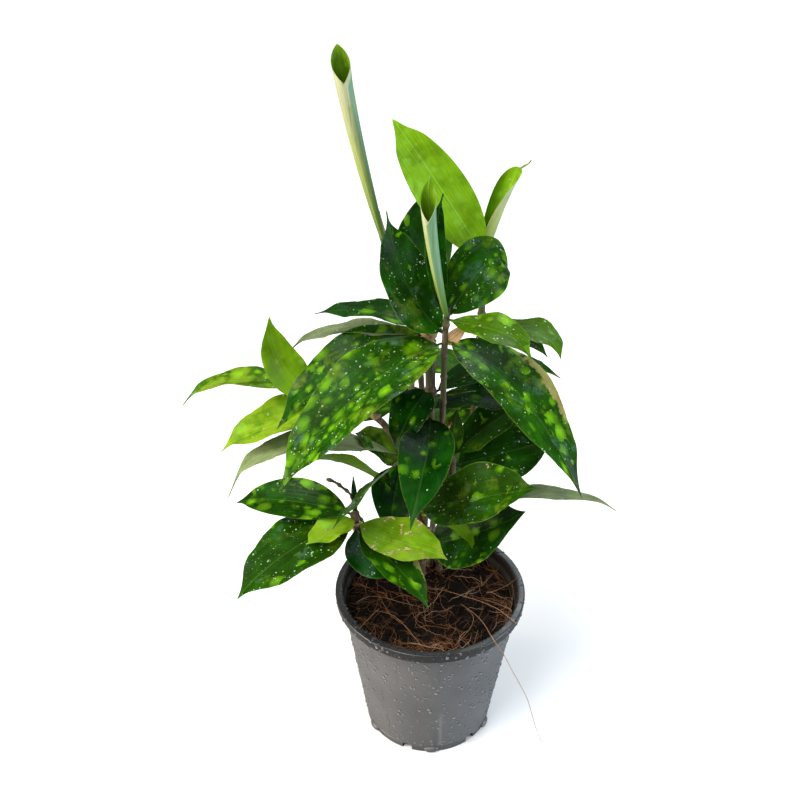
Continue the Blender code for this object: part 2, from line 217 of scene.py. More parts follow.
def link(name, mesh):
    item = bpy.data.objects.new(name, mesh)
    bpy.context.scene.collection.objects.link(item)
    return item


def plain(item):
    """The object with its modifiers applied and removed."""
    finished = item.evaluated_get(bpy.context.evaluated_depsgraph_get())
    mesh = bpy.data.meshes.new_from_object(finished)
    item.modifiers.clear()
    item.data = mesh
    mesh.name = item.name
    for i in reversed(range(len(mesh.materials))):
        if mesh.materials[i] is None and len(mesh.materials) > 1:
            mesh.materials.pop(index=i)
    return item


def rounded(corners):
    """A profile through (radius, height, rounding) corners, each corner swept by a small arc."""
    points = [Vector(corners[0][:2])]
    for before, corner, after in zip(corners, corners[1:], corners[2:]):
        here = Vector(corner[:2])
        start = here + (Vector(before[:2]) - here).normalized() * corner[2]
        end = here + (Vector(after[:2]) - here).normalized() * corner[2]
        for i in range(ARC_STEPS + 1):
            t = i / ARC_STEPS
            points.append(start * (1 - t) ** 2 + here * 2 * t * (1 - t) + end * t ** 2)
    return points + [Vector(corners[-1][:2])]


def turned(name, profile, steps):
    mesh = bpy.data.meshes.new(name)
    points = [(radius * MM, 0.0, height * MM) for radius, height in profile]
    mesh.from_pydata(points, [(i, i + 1) for i in range(len(points) - 1)], [])
    item = link(name, mesh)
    screw = item.modifiers.new("turn", "SCREW")
    screw.steps = steps
    screw.render_steps = steps
    screw.use_merge_vertices = True
    screw.merge_threshold = 0.00001
    return plain(item)


def inner_radius(height):
    """Inner radius of the tapered wall at a height."""
    share = (height - FOOT_HEIGHT) / (RIM_BOTTOM - FOOT_HEIGHT)
    return WALL_FOOT_RADIUS + (WALL_TOP_RADIUS - WALL_FOOT_RADIUS) * share - WALL


def carve(item, shape, operation):
    """Cuts a bmesh shape from the item or joins it on, and lets the shape go."""
    mesh = bpy.data.meshes.new("shape")
    shape.to_mesh(mesh)
    shape.free()
    other = link("shape", mesh)
    boolean = item.modifiers.new("carve", "BOOLEAN")
    boolean.operation = operation
    boolean.object = other
    plain(item)
    bpy.data.objects.remove(other)


pot = turned("pot_shell", rounded([
    (0, FLOOR_TOP, 0), (inner_radius(8.6) - 1, FLOOR_TOP, FLOOR_FILLET),
    (inner_radius(104), 104, 0.6), (55.3, RIM_HEIGHT, 0.9), (RIM_RADIUS, RIM_HEIGHT, 1.3),
    (59.6, RIM_BOTTOM, 0.7), (WALL_TOP_RADIUS, RIM_BOTTOM, 0.5),
    (WALL_FOOT_RADIUS, FOOT_HEIGHT, 0.3), (GROOVE_RADIUS, 4.6, 0.2), (FOOT_RADIUS, 4.0, 0.3),
    (41.7, 0, 0.5), (FOOT_INNER_RADIUS, 0, 0.4), (FOOT_INNER_RADIUS, FOOT_HEIGHT, 0.4),
    (PAD_RADIUS + 2, FOOT_HEIGHT, 0.5), (PAD_RADIUS, 0, 0.5), (0, 0, 0),
]), POT_STEPS)
for i in range(NOTCHES):
    angle = math.radians(360 / NOTCHES * i + FIRST_NOTCH_ANGLE)
    slot = bmesh.new()
    bmesh.ops.create_cone(slot, cap_ends=True, segments=32, radius1=NOTCH_WIDTH / 2 * MM,
                          radius2=NOTCH_WIDTH / 2 * MM, depth=NOTCH_DEPTH * MM,
                          matrix=Matrix.Rotation(math.radians(90), 4, "Y"))
    low = [vert for vert in slot.verts if vert.co.z < -0.00001]
    bmesh.ops.translate(slot, verts=low, vec=(0, 0, -NOTCH_HEIGHT * MM))
    turn = Matrix.Rotation(angle, 4, "Z") @ Matrix.Translation(
        (NOTCH_MIDDLE_RADIUS * MM, 0, (NOTCH_HEIGHT - NOTCH_WIDTH / 2) * MM))
    bmesh.ops.transform(slot, matrix=turn, verts=slot.verts)
    carve(pot, slot, "DIFFERENCE")
for i in range(LUGS):
    angle = math.radians(360 / LUGS * i + FIRST_LUG_ANGLE)
    lug = bmesh.new()
    bmesh.ops.create_uvsphere(lug, u_segments=24, v_segments=12, radius=LUG_RADIUS * MM)
    turn = Matrix.Rotation(angle, 4, "Z") @ Matrix.Translation(
        [size * MM for size in LUG_PLACE]) @ Matrix.Diagonal(LUG_FORM)
    bmesh.ops.transform(lug, matrix=turn, verts=lug.verts)
    carve(pot, lug, "UNION")
pot.data.shade_smooth()
pot.data.set_sharp_from_angle(angle=math.radians(SHARP_ANGLE))

grey_plastic, tree, shader = new_material("grey_pot_plastic", IOR=1.49)
where = place_of(tree)
x, y, z = parts(where)
cloud = noise(where, 26.0, 3.0)
speck = noise(where, 850.0, 2.0, 0.6)
streak = noise(vector_of(x * 90.0, y * 90.0, z * 9.0), 1.0, 2.0)
rim = ramp(z, (RIM_BOTTOM - 0.8) * MM, (RIM_BOTTOM + 0.4) * MM)
# Painted shade: the foot ring under the step at the wall's lower edge is darkened.
painted_foot_shade = ramp(z, (FOOT_HEIGHT + 0.2) * MM, (FOOT_HEIGHT - 0.4) * MM)
dust = ramp(z, 0.02, 0.004) * ramp(cloud, 0.4, 0.7)
colour = mixed((0.158, 0.162, 0.168), (0.205, 0.205, 0.207), ramp(cloud, 0.3, 0.7))
colour = mixed(colour, (0.2, 0.18, 0.155), dust * 0.4)
wall_here = (WALL_FOOT_RADIUS - WALL / 2) * MM + (z - FOOT_HEIGHT * MM) * (
    (WALL_TOP_RADIUS - WALL_FOOT_RADIUS) / (RIM_BOTTOM - FOOT_HEIGHT))
inner = off_axis(x, y) < wall_here
# A pale vertical streak low on the front of the wall is a painted highlight, broken up by the
# cloudy tone.
painted_highlight_streak = ramp(abs(x - HIGHLIGHT_STREAK_X * MM), 0.0017, 0.0005) * (y < 0.0)
painted_highlight_streak = (painted_highlight_streak * ramp(z, HIGHLIGHT_STREAK_TOP * MM, (HIGHLIGHT_STREAK_TOP - 12) * MM)
        * ramp(z, FOOT_HEIGHT * MM, (FOOT_HEIGHT + 3) * MM))
colour = mixed(colour, (0.33, 0.335, 0.35), painted_highlight_streak * ramp(cloud, 0.25, 0.5) * 0.75)
# Its last factor is the painted shade on the foot ring.
colour = colour * (0.66 + 0.22 * speck) * (1.0 - 0.83 * rim) * (1.0 - 0.3 * painted_foot_shade)
# Painted shade: the inside of the wall between the rim and the mix is painted near black, as it
# lies in shadow.
inside = inner * ramp(z, (RIM_HEIGHT - 0.5) * MM, (RIM_HEIGHT - 2.5) * MM)
colour = mixed(colour, (0.012, 0.009, 0.007), inside * 0.85)
wet = ramp(streak, 0.56, 0.66)
scuff = ramp(noise(vector_of(x * 300.0, y * 300.0, z * 40.0), 1.0, 3.0, 0.7), 0.62, 0.7)
colour = mixed(colour * (1.0 - 0.14 * wet), (0.27, 0.26, 0.25), scuff * (1.0 - rim) * 0.16)
surface(shader, height=speck * 0.35 + cloud * 2.0, distance=0.00012, Base_Color=colour,
        Roughness=0.42 - 0.16 * wet - 0.14 * rim + 0.1 * (speck - 0.5) + 0.12 * scuff)
pot.data.materials.clear()
pot.data.materials.append(grey_plastic)
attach(pot, "root")
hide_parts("pot")

# Water drops: mist that has settled on the pot's wall in beads from half a millimetre to 2.4 mm
# across. Each is a flattened bead of water that clings to the plastic, opaque, with the light it
# bends painted on as a dark top and a bright lower side.


def new_tree(name, **inputs):
    """A Geometry Nodes tree with these named inputs, and the inputs as values."""
    kinds = {float: "NodeSocketFloat", int: "NodeSocketInt", tuple: "NodeSocketVector"}
    tree = bpy.data.node_groups.new(name, "GeometryNodeTree")
    for label, start in inputs.items():
        kind = kinds.get(type(start)) or f"NodeSocket{start}"
        socket = tree.interface.new_socket(name=label.replace("_", " ").capitalize(),
                                           in_out="INPUT", socket_type=kind)
        if type(start) in kinds:
            socket.default_value = start
    tree.interface.new_socket(name="Geometry", in_out="OUTPUT", socket_type="NodeSocketGeometry")
    source = tree.nodes.new("NodeGroupInput")
    return tree, [Value(tree, source.outputs[i]) for i in range(len(inputs))]


def end_tree(shape):
    output = shape.tree.nodes.new("NodeGroupOutput")
    shape.tree.links.new(shape.socket, output.inputs[0])


def attribute(tree, name, kind="FLOAT"):
    return add(tree, "GeometryNodeInputNamedAttribute", {"data_type": kind}, Name=name)


def position(tree):
    return add(tree, "GeometryNodeInputPosition")


def shape_of(tree, item):
    """The mesh of another object, to scatter on or to lie on."""
    return add(tree, "GeometryNodeObjectInfo", {"transform_space": "RELATIVE"},
               Object=item).out("Geometry")


def random_value(tree, seed, low=0.0, high=1.0):
    return add(tree, "FunctionNodeRandomValue", Min=low, Max=high, Seed=seed)


def then(shape, kind, **feeds):
    """The geometry after one more node of its tree."""
    return add(shape.tree, f"GeometryNode{kind}", Geometry=shape, **feeds)


def stored(shape, name, value, domain="POINT"):
    kind = "FLOAT_VECTOR" if value.socket.type in ("VECTOR", "RGBA") else "FLOAT"
    return add(shape.tree, "GeometryNodeStoreNamedAttribute", {"data_type": kind, "domain": domain},
               Geometry=shape, Name=name, Value=value)


def grown(name, tree, mesh=None, **sizes):
    """A new plain mesh object that a Geometry Nodes tree makes with these inputs."""
    item = link(name, mesh or bpy.data.meshes.new(name))
    modifier = item.modifiers.new(tree.name, "NODES")
    modifier.node_group = tree
    for socket in tree.interface.items_tree:
        label = socket.name.lower().replace(" ", "_")
        if socket.in_out == "INPUT" and label in sizes:
            modifier[socket.identifier] = sizes[label]
    return plain(item)


bead_tree, (on, density, smallest, largest, lowest, highest, clump, by_leaf, tall, seed,
            material) = new_tree(
    "water_beads", on="Object", density=40000.0, smallest=0.2, largest=1.0, lowest=0.0,
    highest=1.0, clumping=0.5, by_leaf=0.0, tall=0.8, seed=1, material="Material")
target = shape_of(bead_tree, on)
scatter = add(bead_tree, "GeometryNodeDistributePointsOnFaces", Mesh=target, Density=density,
              Seed=seed)
spot = position(bead_tree)
x, y, z = parts(spot)
inside = (z > lowest) * (z < highest)
facing = calc("DOT_PRODUCT", scatter.out("Normal"), vector_of(x, y, 0.0))
facing = calc("MAXIMUM", facing > 0.0001, z > (RIM_HEIGHT - 0.8) * MM)
upwards = ramp(parts(scatter.out("Normal"))[2], -0.2, 0.3)
wetness = parts(attribute(bead_tree, "leaf_look", "FLOAT_VECTOR"))[2]
upper = 1.0 - parts(attribute(bead_tree, "leaf_shape", "FLOAT_VECTOR"))[2]
likely = ramp(noise(spot, 70.0 + 40.0 * by_leaf, 2.0), 0.5 - 0.35 * (1.0 - clump), 0.62)
likely = likely * mixed(facing, wetness * upper * upwards, by_leaf)
chance = random_value(bead_tree, seed + 7)
size = random_value(bead_tree, seed)
size = (smallest + (largest - smallest) * size ** 3.0) * MM
oval = random_value(bead_tree, seed + 3, 0.85, 1.45)
bead = add(bead_tree, "GeometryNodeMeshUVSphere", Segments=8, Rings=4, Radius=0.5)
shape = add(bead_tree, "GeometryNodeInstanceOnPoints", Points=scatter, Instance=bead,
            Selection=inside * (chance < likely), Rotation=scatter.out("Rotation"),
            Scale=vector_of(size, size * oval, size * tall))
shape = then(shape, "RealizeInstances")
shape = then(shape, "SetShadeSmooth")
end_tree(then(shape, "SetMaterial", Material=material))


def water_material(name, top, middle, low, clear):
    """A bead of water with painted light: dark where it bends the light away, bright where it
    gathers it.
    """
    material, tree, shader = new_material(name, IOR=1.333, Transmission_Weight=clear,
                                          Specular_IOR_Level=0.9)
    facing = parts(add(tree, "ShaderNodeNewGeometry").out("Normal"))[2]
    tint = noise(place_of(tree), 400.0, 1.0)
    colour = mixed(mixed(low, middle, ramp(facing, -0.5, 0.0)), top, ramp(facing, 0.2, 0.75))
    surface(shader, Base_Color=colour * (0.85 + 0.3 * tint), Roughness=0.03 + 0.04 * tint)
    return material


# On the pot the beads are opaque: a painted dark top and a painted bright lower side stand in for
# the light they bend.
water = water_material("water_on_plastic", (0.035, 0.037, 0.04), (0.17, 0.175, 0.18),
                       (0.62, 0.64, 0.66), clear=0.0)
# On the leaves the beads are partly clear, with a painted glint on top and painted shade on the
# lower side.
water_on_leaf = water_material("water_on_leaf", (0.55, 0.72, 0.50), (0.12, 0.26, 0.10),
                               (0.02, 0.08, 0.02), clear=0.35)

pot_beads = grown("pot_water_beads", bead_tree, on=pot, density=105000.0, smallest=0.5,
                  largest=2.4, lowest=0.006, highest=0.1068, clumping=0.1, tall=0.4, seed=3,
                  material=water)
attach(pot_beads, "root")

# Potting mix: damp dark peat that fills the pot to a finger's breadth below the rim, its top
# mounded and lumpy round the canes. The tree raises the lumps and crumbs on a turned body.
SOIL_EDGE_HEIGHT = 94.5
SOIL_MOUND = 3.0
SOIL_GAP = 0.3
SOIL_RADIUS = inner_radius(SOIL_EDGE_HEIGHT) - SOIL_GAP
SOIL_BOTTOM = FLOOR_TOP + SOIL_GAP
SOIL_SIDE = SOIL_BOTTOM + FLOOR_FILLET
SOIL_RINGS = 70
SOIL_STEPS = 200

top = [(SOIL_RADIUS * i / SOIL_RINGS, SOIL_EDGE_HEIGHT + SOIL_MOUND * (1 - (i / SOIL_RINGS) ** 2))
       for i in range(SOIL_RINGS + 1)]
side = inner_radius(SOIL_SIDE) - SOIL_GAP
soil_body = turned("soil_body", top + [(side, SOIL_SIDE), (side - FLOOR_FILLET, SOIL_BOTTOM),
                                       (0, SOIL_BOTTOM)], SOIL_STEPS)

lump_tree, (body, lump, crumb, radius) = new_tree(
    "potting_mix_top", body="Geometry", lump_height=1.7, crumb_height=0.9, radius=54.0)
spot = position(lump_tree)
x, y, z = parts(spot)
middle = ramp(off_axis(x, y) / MM, radius, radius - 2.5)
lumps = (noise(spot, 110.0, 1.0) - 0.5) * 3.0 * lump
crumbs = (noise(spot, 420.0, 3.0, 0.65) - 0.5) * 3.0 * crumb
raised = (lumps + crumbs) * middle * (z > (SOIL_EDGE_HEIGHT - 0.1) * MM) * MM
end_tree(then(body, "SetPosition", Offset=vector_of(0.0, 0.0, raised)))
soil = grown("potting_mix", lump_tree, mesh=soil_body.data, radius=SOIL_RADIUS)
bpy.data.objects.remove(soil_body)
soil.data.shade_smooth()

damp_peat, tree, shader = new_material("damp_peat", IOR=1.4, Specular_IOR_Level=0.22)
where = place_of(tree)
grain = noise(where, 700.0, 4.0, 0.7)
clods = noise(where, 150.0, 3.0)
colour = mixed((0.0025, 0.0016, 0.001), (0.02, 0.0095, 0.0045), ramp(grain, 0.42, 0.75))
colour = mixed(colour, (0.05, 0.022, 0.009), ramp(clods, 0.6, 0.75) * 0.5)
surface(shader, height=grain + clods, distance=0.0006, Base_Color=colour,
        Roughness=0.62 + 0.3 * ramp(clods, 0.35, 0.6))
soil.data.materials.clear()
soil.data.materials.append(damp_peat)
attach(soil, "root")
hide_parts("soil")

# Peat crumbs and bark bits: loose grains on the potting mix, from dust to 4 mm across. They
# only lie on its upper face.
MIX_TOP_FROM = 93.0

crumb_tree, (on, density, largest, seed, material) = new_tree(
    "peat_crumbs", on="Object", density=200000.0, largest=3.0, seed=1, material="Material")
target = shape_of(crumb_tree, on)
spot = position(crumb_tree)
x, y, z = parts(spot)
off_middle = off_axis(x, y) / MM
scatter = add(crumb_tree, "GeometryNodeDistributePointsOnFaces", Mesh=target,
              Selection=(z > MIX_TOP_FROM * MM) * (off_middle < SOIL_RADIUS - 2),
              Density=density, Seed=seed)
size = random_value(crumb_tree, seed)
size = (0.5 + (largest - 0.5) * size ** 4.0) * MM
turn = add(crumb_tree, "FunctionNodeRandomValue", {"data_type": "FLOAT_VECTOR"}, Seed=seed)
turn = add(crumb_tree, "FunctionNodeEulerToRotation", Euler=turn * 6.0)
ball = add(crumb_tree, "GeometryNodeMeshIcoSphere", Radius=0.5, Subdivisions=1)
shape = add(crumb_tree, "GeometryNodeInstanceOnPoints", Points=scatter, Instance=ball,
            Rotation=turn, Scale=vector_of(size, size * 0.8, size * 0.6))
shape = then(shape, "RealizeInstances")
uneven = noise(position(crumb_tree), 900.0, 1.0).out("Color")
shape = then(shape, "SetPosition", Offset=(uneven - 0.5) * 0.0011)
end_tree(then(shape, "SetMaterial", Material=material))

crumbs = grown("peat_crumbs", crumb_tree, on=soil, density=260000.0, largest=3.6, seed=5,
               material=damp_peat)
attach(crumbs, "root")

# Coir and fine roots: brown husk fibres in a loose tangle over the mix, and pale new roots.
# Each strand is scattered, laid on the mix and bent by noise, and tapers to both ends.
strand_tree, (on, density, length, thickness, centre, spread, curl, loft, seed,
              material) = new_tree(
    "loose_strands", on="Object", density=50000.0, length=30.0, thickness=0.3,
    centre=(0.0, 0.0, 0.0), spread=60.0, curl=8.0, loft=2.0, seed=1, material="Material")
target = shape_of(strand_tree, on)
spot = position(strand_tree)
x, y, z = parts(spot)
near = ramp(calc("LENGTH", vector_of(x, y, 0.0) / MM - centre), spread, spread * 0.3)
near = near * ramp(noise(spot, 42.0, 1.0), 0.34, 0.6)
scatter = add(strand_tree, "GeometryNodeDistributePointsOnFaces", Mesh=target,
              Selection=z > MIX_TOP_FROM * MM, Density=density * near, Seed=seed)
line = add(strand_tree, "GeometryNodeCurvePrimitiveLine", Start=(-0.5, 0.0, 0.0),
           End=(0.5, 0.0, 0.0))
line = add(strand_tree, "GeometryNodeResampleCurve", Curve=line, Count=16)
aim = random_value(strand_tree, seed)
stretch = random_value(strand_tree, seed, 0.45, 1.3)
shape = add(strand_tree, "GeometryNodeInstanceOnPoints", Points=scatter, Instance=line,
            Rotation=add(strand_tree, "FunctionNodeEulerToRotation",
                         Euler=vector_of(0.0, 0.0, aim * 6.283)),
            Scale=stretch * length * MM)
shade = random_value(strand_tree, seed)
shape = stored(shape, "strand_shade", shade, "INSTANCE")
shape = then(shape, "RealizeInstances")
spot = position(strand_tree)
own = attribute(strand_tree, "strand_shade")
drift = vector_of(own * 3.0, own * 7.0, own * 5.0)
bent = (noise(spot + drift, 45.0, 1.0).out("Color") - 0.5) * 3.2 * curl * MM
bent = bent + (noise(spot + drift, 160.0, 1.0).out("Color") - 0.5) * 0.9 * curl * MM
laid = spot + bent
x, y, z = parts(laid)
reach = off_axis(x, y)
inwards = calc("MINIMUM", 1.0, (SOIL_RADIUS - 0.8) * MM / calc("MAXIMUM", reach, 0.001))
flat = vector_of(x * inwards, y * inwards, 0.2)
shape = then(shape, "SetPosition", Position=flat)
spot = position(strand_tree)
under = add(strand_tree, "GeometryNodeRaycast", Target_Geometry=target, Source_Position=spot,
            Ray_Direction=(0.0, 0.0, -1.0), Ray_Length=1.0).out("Hit Position")
raised = calc("MAXIMUM", noise(spot + drift, 70.0, 1.0) - 0.42, 0.0) * 4.0 * loft * MM
shape = then(shape, "SetPosition", Position=under + vector_of(0.0, 0.0, raised + 0.0002))
along = add(strand_tree, "GeometryNodeSplineParameter")
taper = (1.0 - abs(along * 2.0 - 1.0) ** 4.0) * 0.8 + 0.2
ring = add(strand_tree, "GeometryNodeCurvePrimitiveCircle", Resolution=5, Radius=0.5)
shape = add(strand_tree, "GeometryNodeCurveToMesh", Curve=shape, Profile_Curve=ring,
            Scale=taper * thickness * (0.6 + 0.8 * own) * MM, Fill_Caps=True)
shape = then(shape, "SetShadeSmooth")
end_tree(then(shape, "SetMaterial", Material=material))


def carried(tree, label, output="Vector"):
    """What every point of a mesh carries under this name."""
    return add(tree, "ShaderNodeAttribute", {"attribute_name": label}).out(output)


def strand_material(name, dark, light, tip, roughness):
    """Fibre whose shade changes from strand to strand and in flecks along it."""
    material, tree, shader = new_material(name, IOR=1.45)
    own = carried(tree, "strand_shade", "Fac")
    fleck = noise(place_of(tree), 600.0, 3.0, 0.6)
    colour = mixed(dark, light, ramp(own, 0.2, 1.0))
    colour = mixed(colour, tip, ramp(fleck, 0.55, 0.75) * 0.7)
    surface(shader, height=fleck, distance=0.0001, Base_Color=colour,
            Roughness=roughness + 0.2 * (fleck - 0.5))
    return material


coir_brown = strand_material("coir_fibre", (0.02, 0.007, 0.003), (0.36, 0.14, 0.045),
                             (0.68, 0.40, 0.21), 0.7)
root_pale = strand_material("pale_root", (0.34, 0.19, 0.10), (0.60, 0.40, 0.25),
                            (0.26, 0.12, 0.06), 0.6)
coir = grown("coir_tangle", strand_tree, on=soil, density=76000.0, length=19.0, thickness=0.15,
             centre=(2.0, -6.0, 0.0), spread=78.0, curl=5.5, loft=3.2, seed=11,
             material=coir_brown)
fine_roots = grown("fine_roots", strand_tree, on=soil, density=11000.0, length=24.0,
                   thickness=0.3, centre=(22.0, -20.0, 0.0), spread=60.0, curl=6.0, loft=2.2,
                   seed=23, material=root_pale)
for strands in (coir, fine_roots):
    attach(strands, "root")

# Leaf looks: gold dust spots, parallel veins and healed scars, in groups that both faces of
# every blade use. Positions are in millimetres along and across each blade laid flat.


def new_group(name, inputs, outputs):
    """A shader node group: its tree, its inputs as values, and a function that ends it."""
    tree = bpy.data.node_groups.new(name, "ShaderNodeTree")
    for label, kind in inputs.items():
        tree.interface.new_socket(name=label, in_out="INPUT", socket_type=f"NodeSocket{kind}")
    for label in outputs:
        tree.interface.new_socket(name=label, in_out="OUTPUT", socket_type="NodeSocketFloat")
    source = tree.nodes.new("NodeGroupInput")
    output = tree.nodes.new("NodeGroupOutput")

    def end(*values):
        for socket, value in zip(output.inputs, values):
            tree.links.new(value.socket, socket)
        return tree

    return [Value(tree, source.outputs[i]) for i in range(len(inputs))], end


def use(tree, group, **feeds):
    made = tree.nodes.new("ShaderNodeGroup")
    made.node_tree = group
    for label, value in feeds.items():
        tree.links.new(value.socket, made.inputs[label])
    return Value(tree, made.outputs[0])


(place, amount), end_group = new_group("gold_dust", {"Place": "Vector", "Amount": "Float"},
                                       ["Spots"])


def spot_layer(where, cell, smallest, largest, share):
    """Round spots of random size in some of the cells of a scattered pattern."""
    dots = add(where.tree, "ShaderNodeTexVoronoi", Vector=where, Scale=1.0 / cell)
    pick, grow, fade = parts(dots.out("Color"))
    radius = smallest + (largest - smallest) * grow * grow
    present = pick < share
    edge = ramp(dots * cell / radius, 1.55, 0.0)
    return edge * present * (0.4 + 0.6 * fade)


along, across, serial = parts(place)
drawn = vector_of(along * 0.74, across, serial)
ragged = (noise(drawn, 0.45, 3.0, 0.7).out("Color") - 0.5) * 2.4
patchy = ramp(noise(drawn, 0.055, 2.0), 0.36, 0.58)
share = amount * (0.2 + 0.8 * patchy)
blotches = spot_layer(drawn + ragged, 6.2, 1.5, 4.2, share * 0.8)
dots = spot_layer(drawn + ragged * 0.6, 4.4, 0.9, 2.2, share * 0.45)
dust = spot_layer(drawn + ragged * 0.3, 1.5, 0.2, 0.5, share * 0.4)
gold_dust = end_group(calc("MAXIMUM", calc("MAXIMUM", blotches, dots * 0.85), dust * 0.6))

(place,), end_group = new_group("leaf_veins", {"Place": "Vector"}, ["Lines", "Broad"])
x, y, z = parts(place)
fine = noise(vector_of(x * 0.03, y * 2.4, z), 1.0, 2.0, 0.6)
broad = noise(vector_of(x * 0.02, y * 0.55, z), 1.0, 1.0)
leaf_veins = end_group(fine, broad)

(place, amount), end_group = new_group("healed_scars", {"Place": "Vector", "Amount": "Float"},
                                       ["Scars", "Rim"])
mottle = noise(place, 0.11, 5.0, 0.74)
line = 0.74 - 0.16 * amount
present = amount > 0.01
scars = ramp(mottle, line, line + 0.02) * present
rim_line = ramp(mottle, line - 0.03, line) * present - scars
healed_scars = end_group(scars, rim_line)


def leaf_material(name, dark, mid, young, gold, upper):
    """One face of the blades, from the values that each blade carries."""
    material, tree, shader = new_material(
        name, IOR=1.45, Specular_IOR_Level=0.09 if upper else 0.12, Subsurface_Weight=0.2,
        Subsurface_Scale=0.0008, Subsurface_Radius=(0.6, 1.0, 0.2))
    place = carried(tree, "leaf_place")
    along, across = parts(carried(tree, "leaf_shape"))[:2]
    age, spots, wet = parts(carried(tree, "leaf_look"))
    scar, brown, yellow = parts(carried(tree, "leaf_marks"))
    torn_at, torn_half, torn_side = parts(carried(tree, "leaf_patch"))
    reach = abs(across)
    tone = noise(place, 0.07, 3.0)
    lines = use(tree, leaf_veins, Place=place)
    dusted = use(tree, gold_dust, Place=place, Amount=spots)
    scarred = use(tree, healed_scars, Place=place, Amount=scar)

    x, y, z = parts(place)
    mottle = ramp(noise(vector_of(x * 0.4, y, z), 0.3, 3.0, 0.6), 0.36, 0.62)
    # An age past 1 goes beyond the young colour: painted glow of light shining through a thin
    # blade.
    colour = mixed(mixed(dark, mid, ramp(tone, 0.32, 0.72)), young, age)
    colour = colour * (1.0 - 0.2 * age * ramp(tone, 0.6, 0.36))
    colour = colour * (1.06 - (0.28 - 0.13 * age) * (1.0 - mottle))
    colour = colour * (0.84 + 0.32 * ramp(lines, 0.3, 0.7))
    patch = ramp(noise(place, 0.075, 3.0, 0.6), 0.66 - 0.25 * yellow, 0.86 - 0.25 * yellow)
    colour = mixed(colour, (0.30, 0.46, 0.02), patch * yellow * 0.5)
    glowing = dusted * (0.92 if upper else 0.35) * (0.8 + 0.3 * mottle)
    colour = mixed(colour, gold, glowing) + (0.085, 0.085, 0.03) * age * glowing
    rib = ramp(abs(y), 0.75, 0.2)
    colour = colour + (0.030, 0.060, 0.012) * rib * (0.5 + 0.3 * age)
    colour = mixed(colour, (0.30, 0.42, 0.06), ramp(reach, 0.965, 0.995) * (0.2 + 0.4 * age))
    dry = reach + 0.5 * (noise(place, 0.16, 3.0) - 0.5)
    dry = calc("MAXIMUM", ramp(dry, 1.2 - brown * 0.6, 1.23 - brown * 0.6),
               ramp(along + 0.16 * (tone - 0.5), 1.04 - brown * 0.12, 1.06 - brown * 0.12))
    dry = dry * ramp(brown, 0.0, 0.05)
    window = 1.0 - abs(along - torn_at) / calc("MAXIMUM", torn_half, 0.01)
    torn = across * torn_side + 0.7 * (noise(place, 0.2, 4.0, 0.6) - 0.5)
    torn = ramp(torn, 1.06 - 0.4 * window, 1.16 - 0.4 * window) * ramp(window, 0.0, 0.12)
    dry = calc("MAXIMUM", dry, torn * abs(torn_side))
    straw = mixed((0.19, 0.12, 0.03), (0.26, 0.255, 0.075), ramp(tone, 0.28, 0.55))
    colour = mixed(colour, straw, dry)
    colour = mixed(colour, (0.56, 0.48, 0.19), scarred)
    colour = mixed(colour, (0.16, 0.09, 0.01), scarred.out("Rim") * 0.6)
    damp = ramp(noise(place, 0.09, 3.0, 0.6), 0.62 - 0.12 * wet, 0.7 - 0.12 * wet) * wet
    # Painted sheen: on the wetter blades, grey-blue patches stand in for the sky reflected on them.
    painted_sheen = ramp(noise(place, 0.06, 5.0, 0.68), 0.565, 0.66) * wet
    colour = mixed(colour, (0.068, 0.150, 0.100), painted_sheen * 0.42)
    rough = 0.29 if upper else 0.46
    surface(shader, height=lines * 0.5 + lines.out("Broad") * 0.8 - scarred * 0.5 + rib * 0.6,
            distance=0.00022, Base_Color=colour,
            Roughness=rough + 0.2 * (tone - 0.5) + 0.3 * calc("MAXIMUM", dry, scarred)
            - 0.16 * damp)
    return material


leaf_face = leaf_material("leaf_upper", (0.0010, 0.026, 0.0007), (0.006, 0.070, 0.0011),
                          (0.175, 0.36, 0.006), (0.19, 0.50, 0.004), upper=True)
leaf_back = leaf_material("leaf_underside", (0.085, 0.125, 0.055), (0.185, 0.22, 0.12),
                          (0.30, 0.40, 0.14), (0.30, 0.42, 0.10), upper=False)


def spear_material():
    """The outside of a rolled young leaf: one half painted light, warm and pale, the other bluish
    green.
    """
    material, tree, shader = new_material("rolled_leaf_outside", IOR=1.47)
    place = carried(tree, "leaf_place")
    along, across = parts(carried(tree, "leaf_shape"))[:2]
    lines = use(tree, leaf_veins, Place=place)
    tone = noise(place, 0.12, 2.0)
    warm = parts(carried(tree, "leaf_patch"))[0]
    # The warm pale half is painted light on the side of the roll that the light falls on; warm
    # widens it.
    half = ramp(across, -0.1, 0.1) - ramp(across, 1.04 - 0.35 * warm, 1.11 - 0.35 * warm)
    painted_lit_half = mixed((0.36, 0.45, 0.10), (0.52, 0.55, 0.31), ramp(along, 0.3, 0.8))
    colour = mixed(painted_lit_half, (0.17, 0.33, 0.17), half)
    colour = colour * (0.78 + 0.44 * ramp(lines, 0.25, 0.75))
    colour = mixed(colour, (0.20, 0.38, 0.05), ramp(tone, 0.45, 0.75) * 0.4)
    colour = mixed(colour, (0.12, 0.24, 0.02), ramp(along, 0.42, 0.06) * 0.85)
    colour = mixed(colour, (0.50, 0.56, 0.30), ramp(abs(across), 0.95, 0.99) * 0.7)
    surface(shader, height=lines + lines.out("Broad"), distance=0.0002, Base_Color=colour,
            Roughness=0.4 + 0.15 * (tone - 0.5))
    return material


spear_back = spear_material()

# Leaves: thin glossy blades, each on a short stalk, folded along a sunk midrib, with wavy
# margins. The tree bends a closed grid to the blade's midrib, fold, curl and outline.
LENGTH_PER_CHORD = 1.08
MARGIN_WAVES = 2.5
LARGEST_WRAP = 3.46
PATTERN_STEP = 41.0

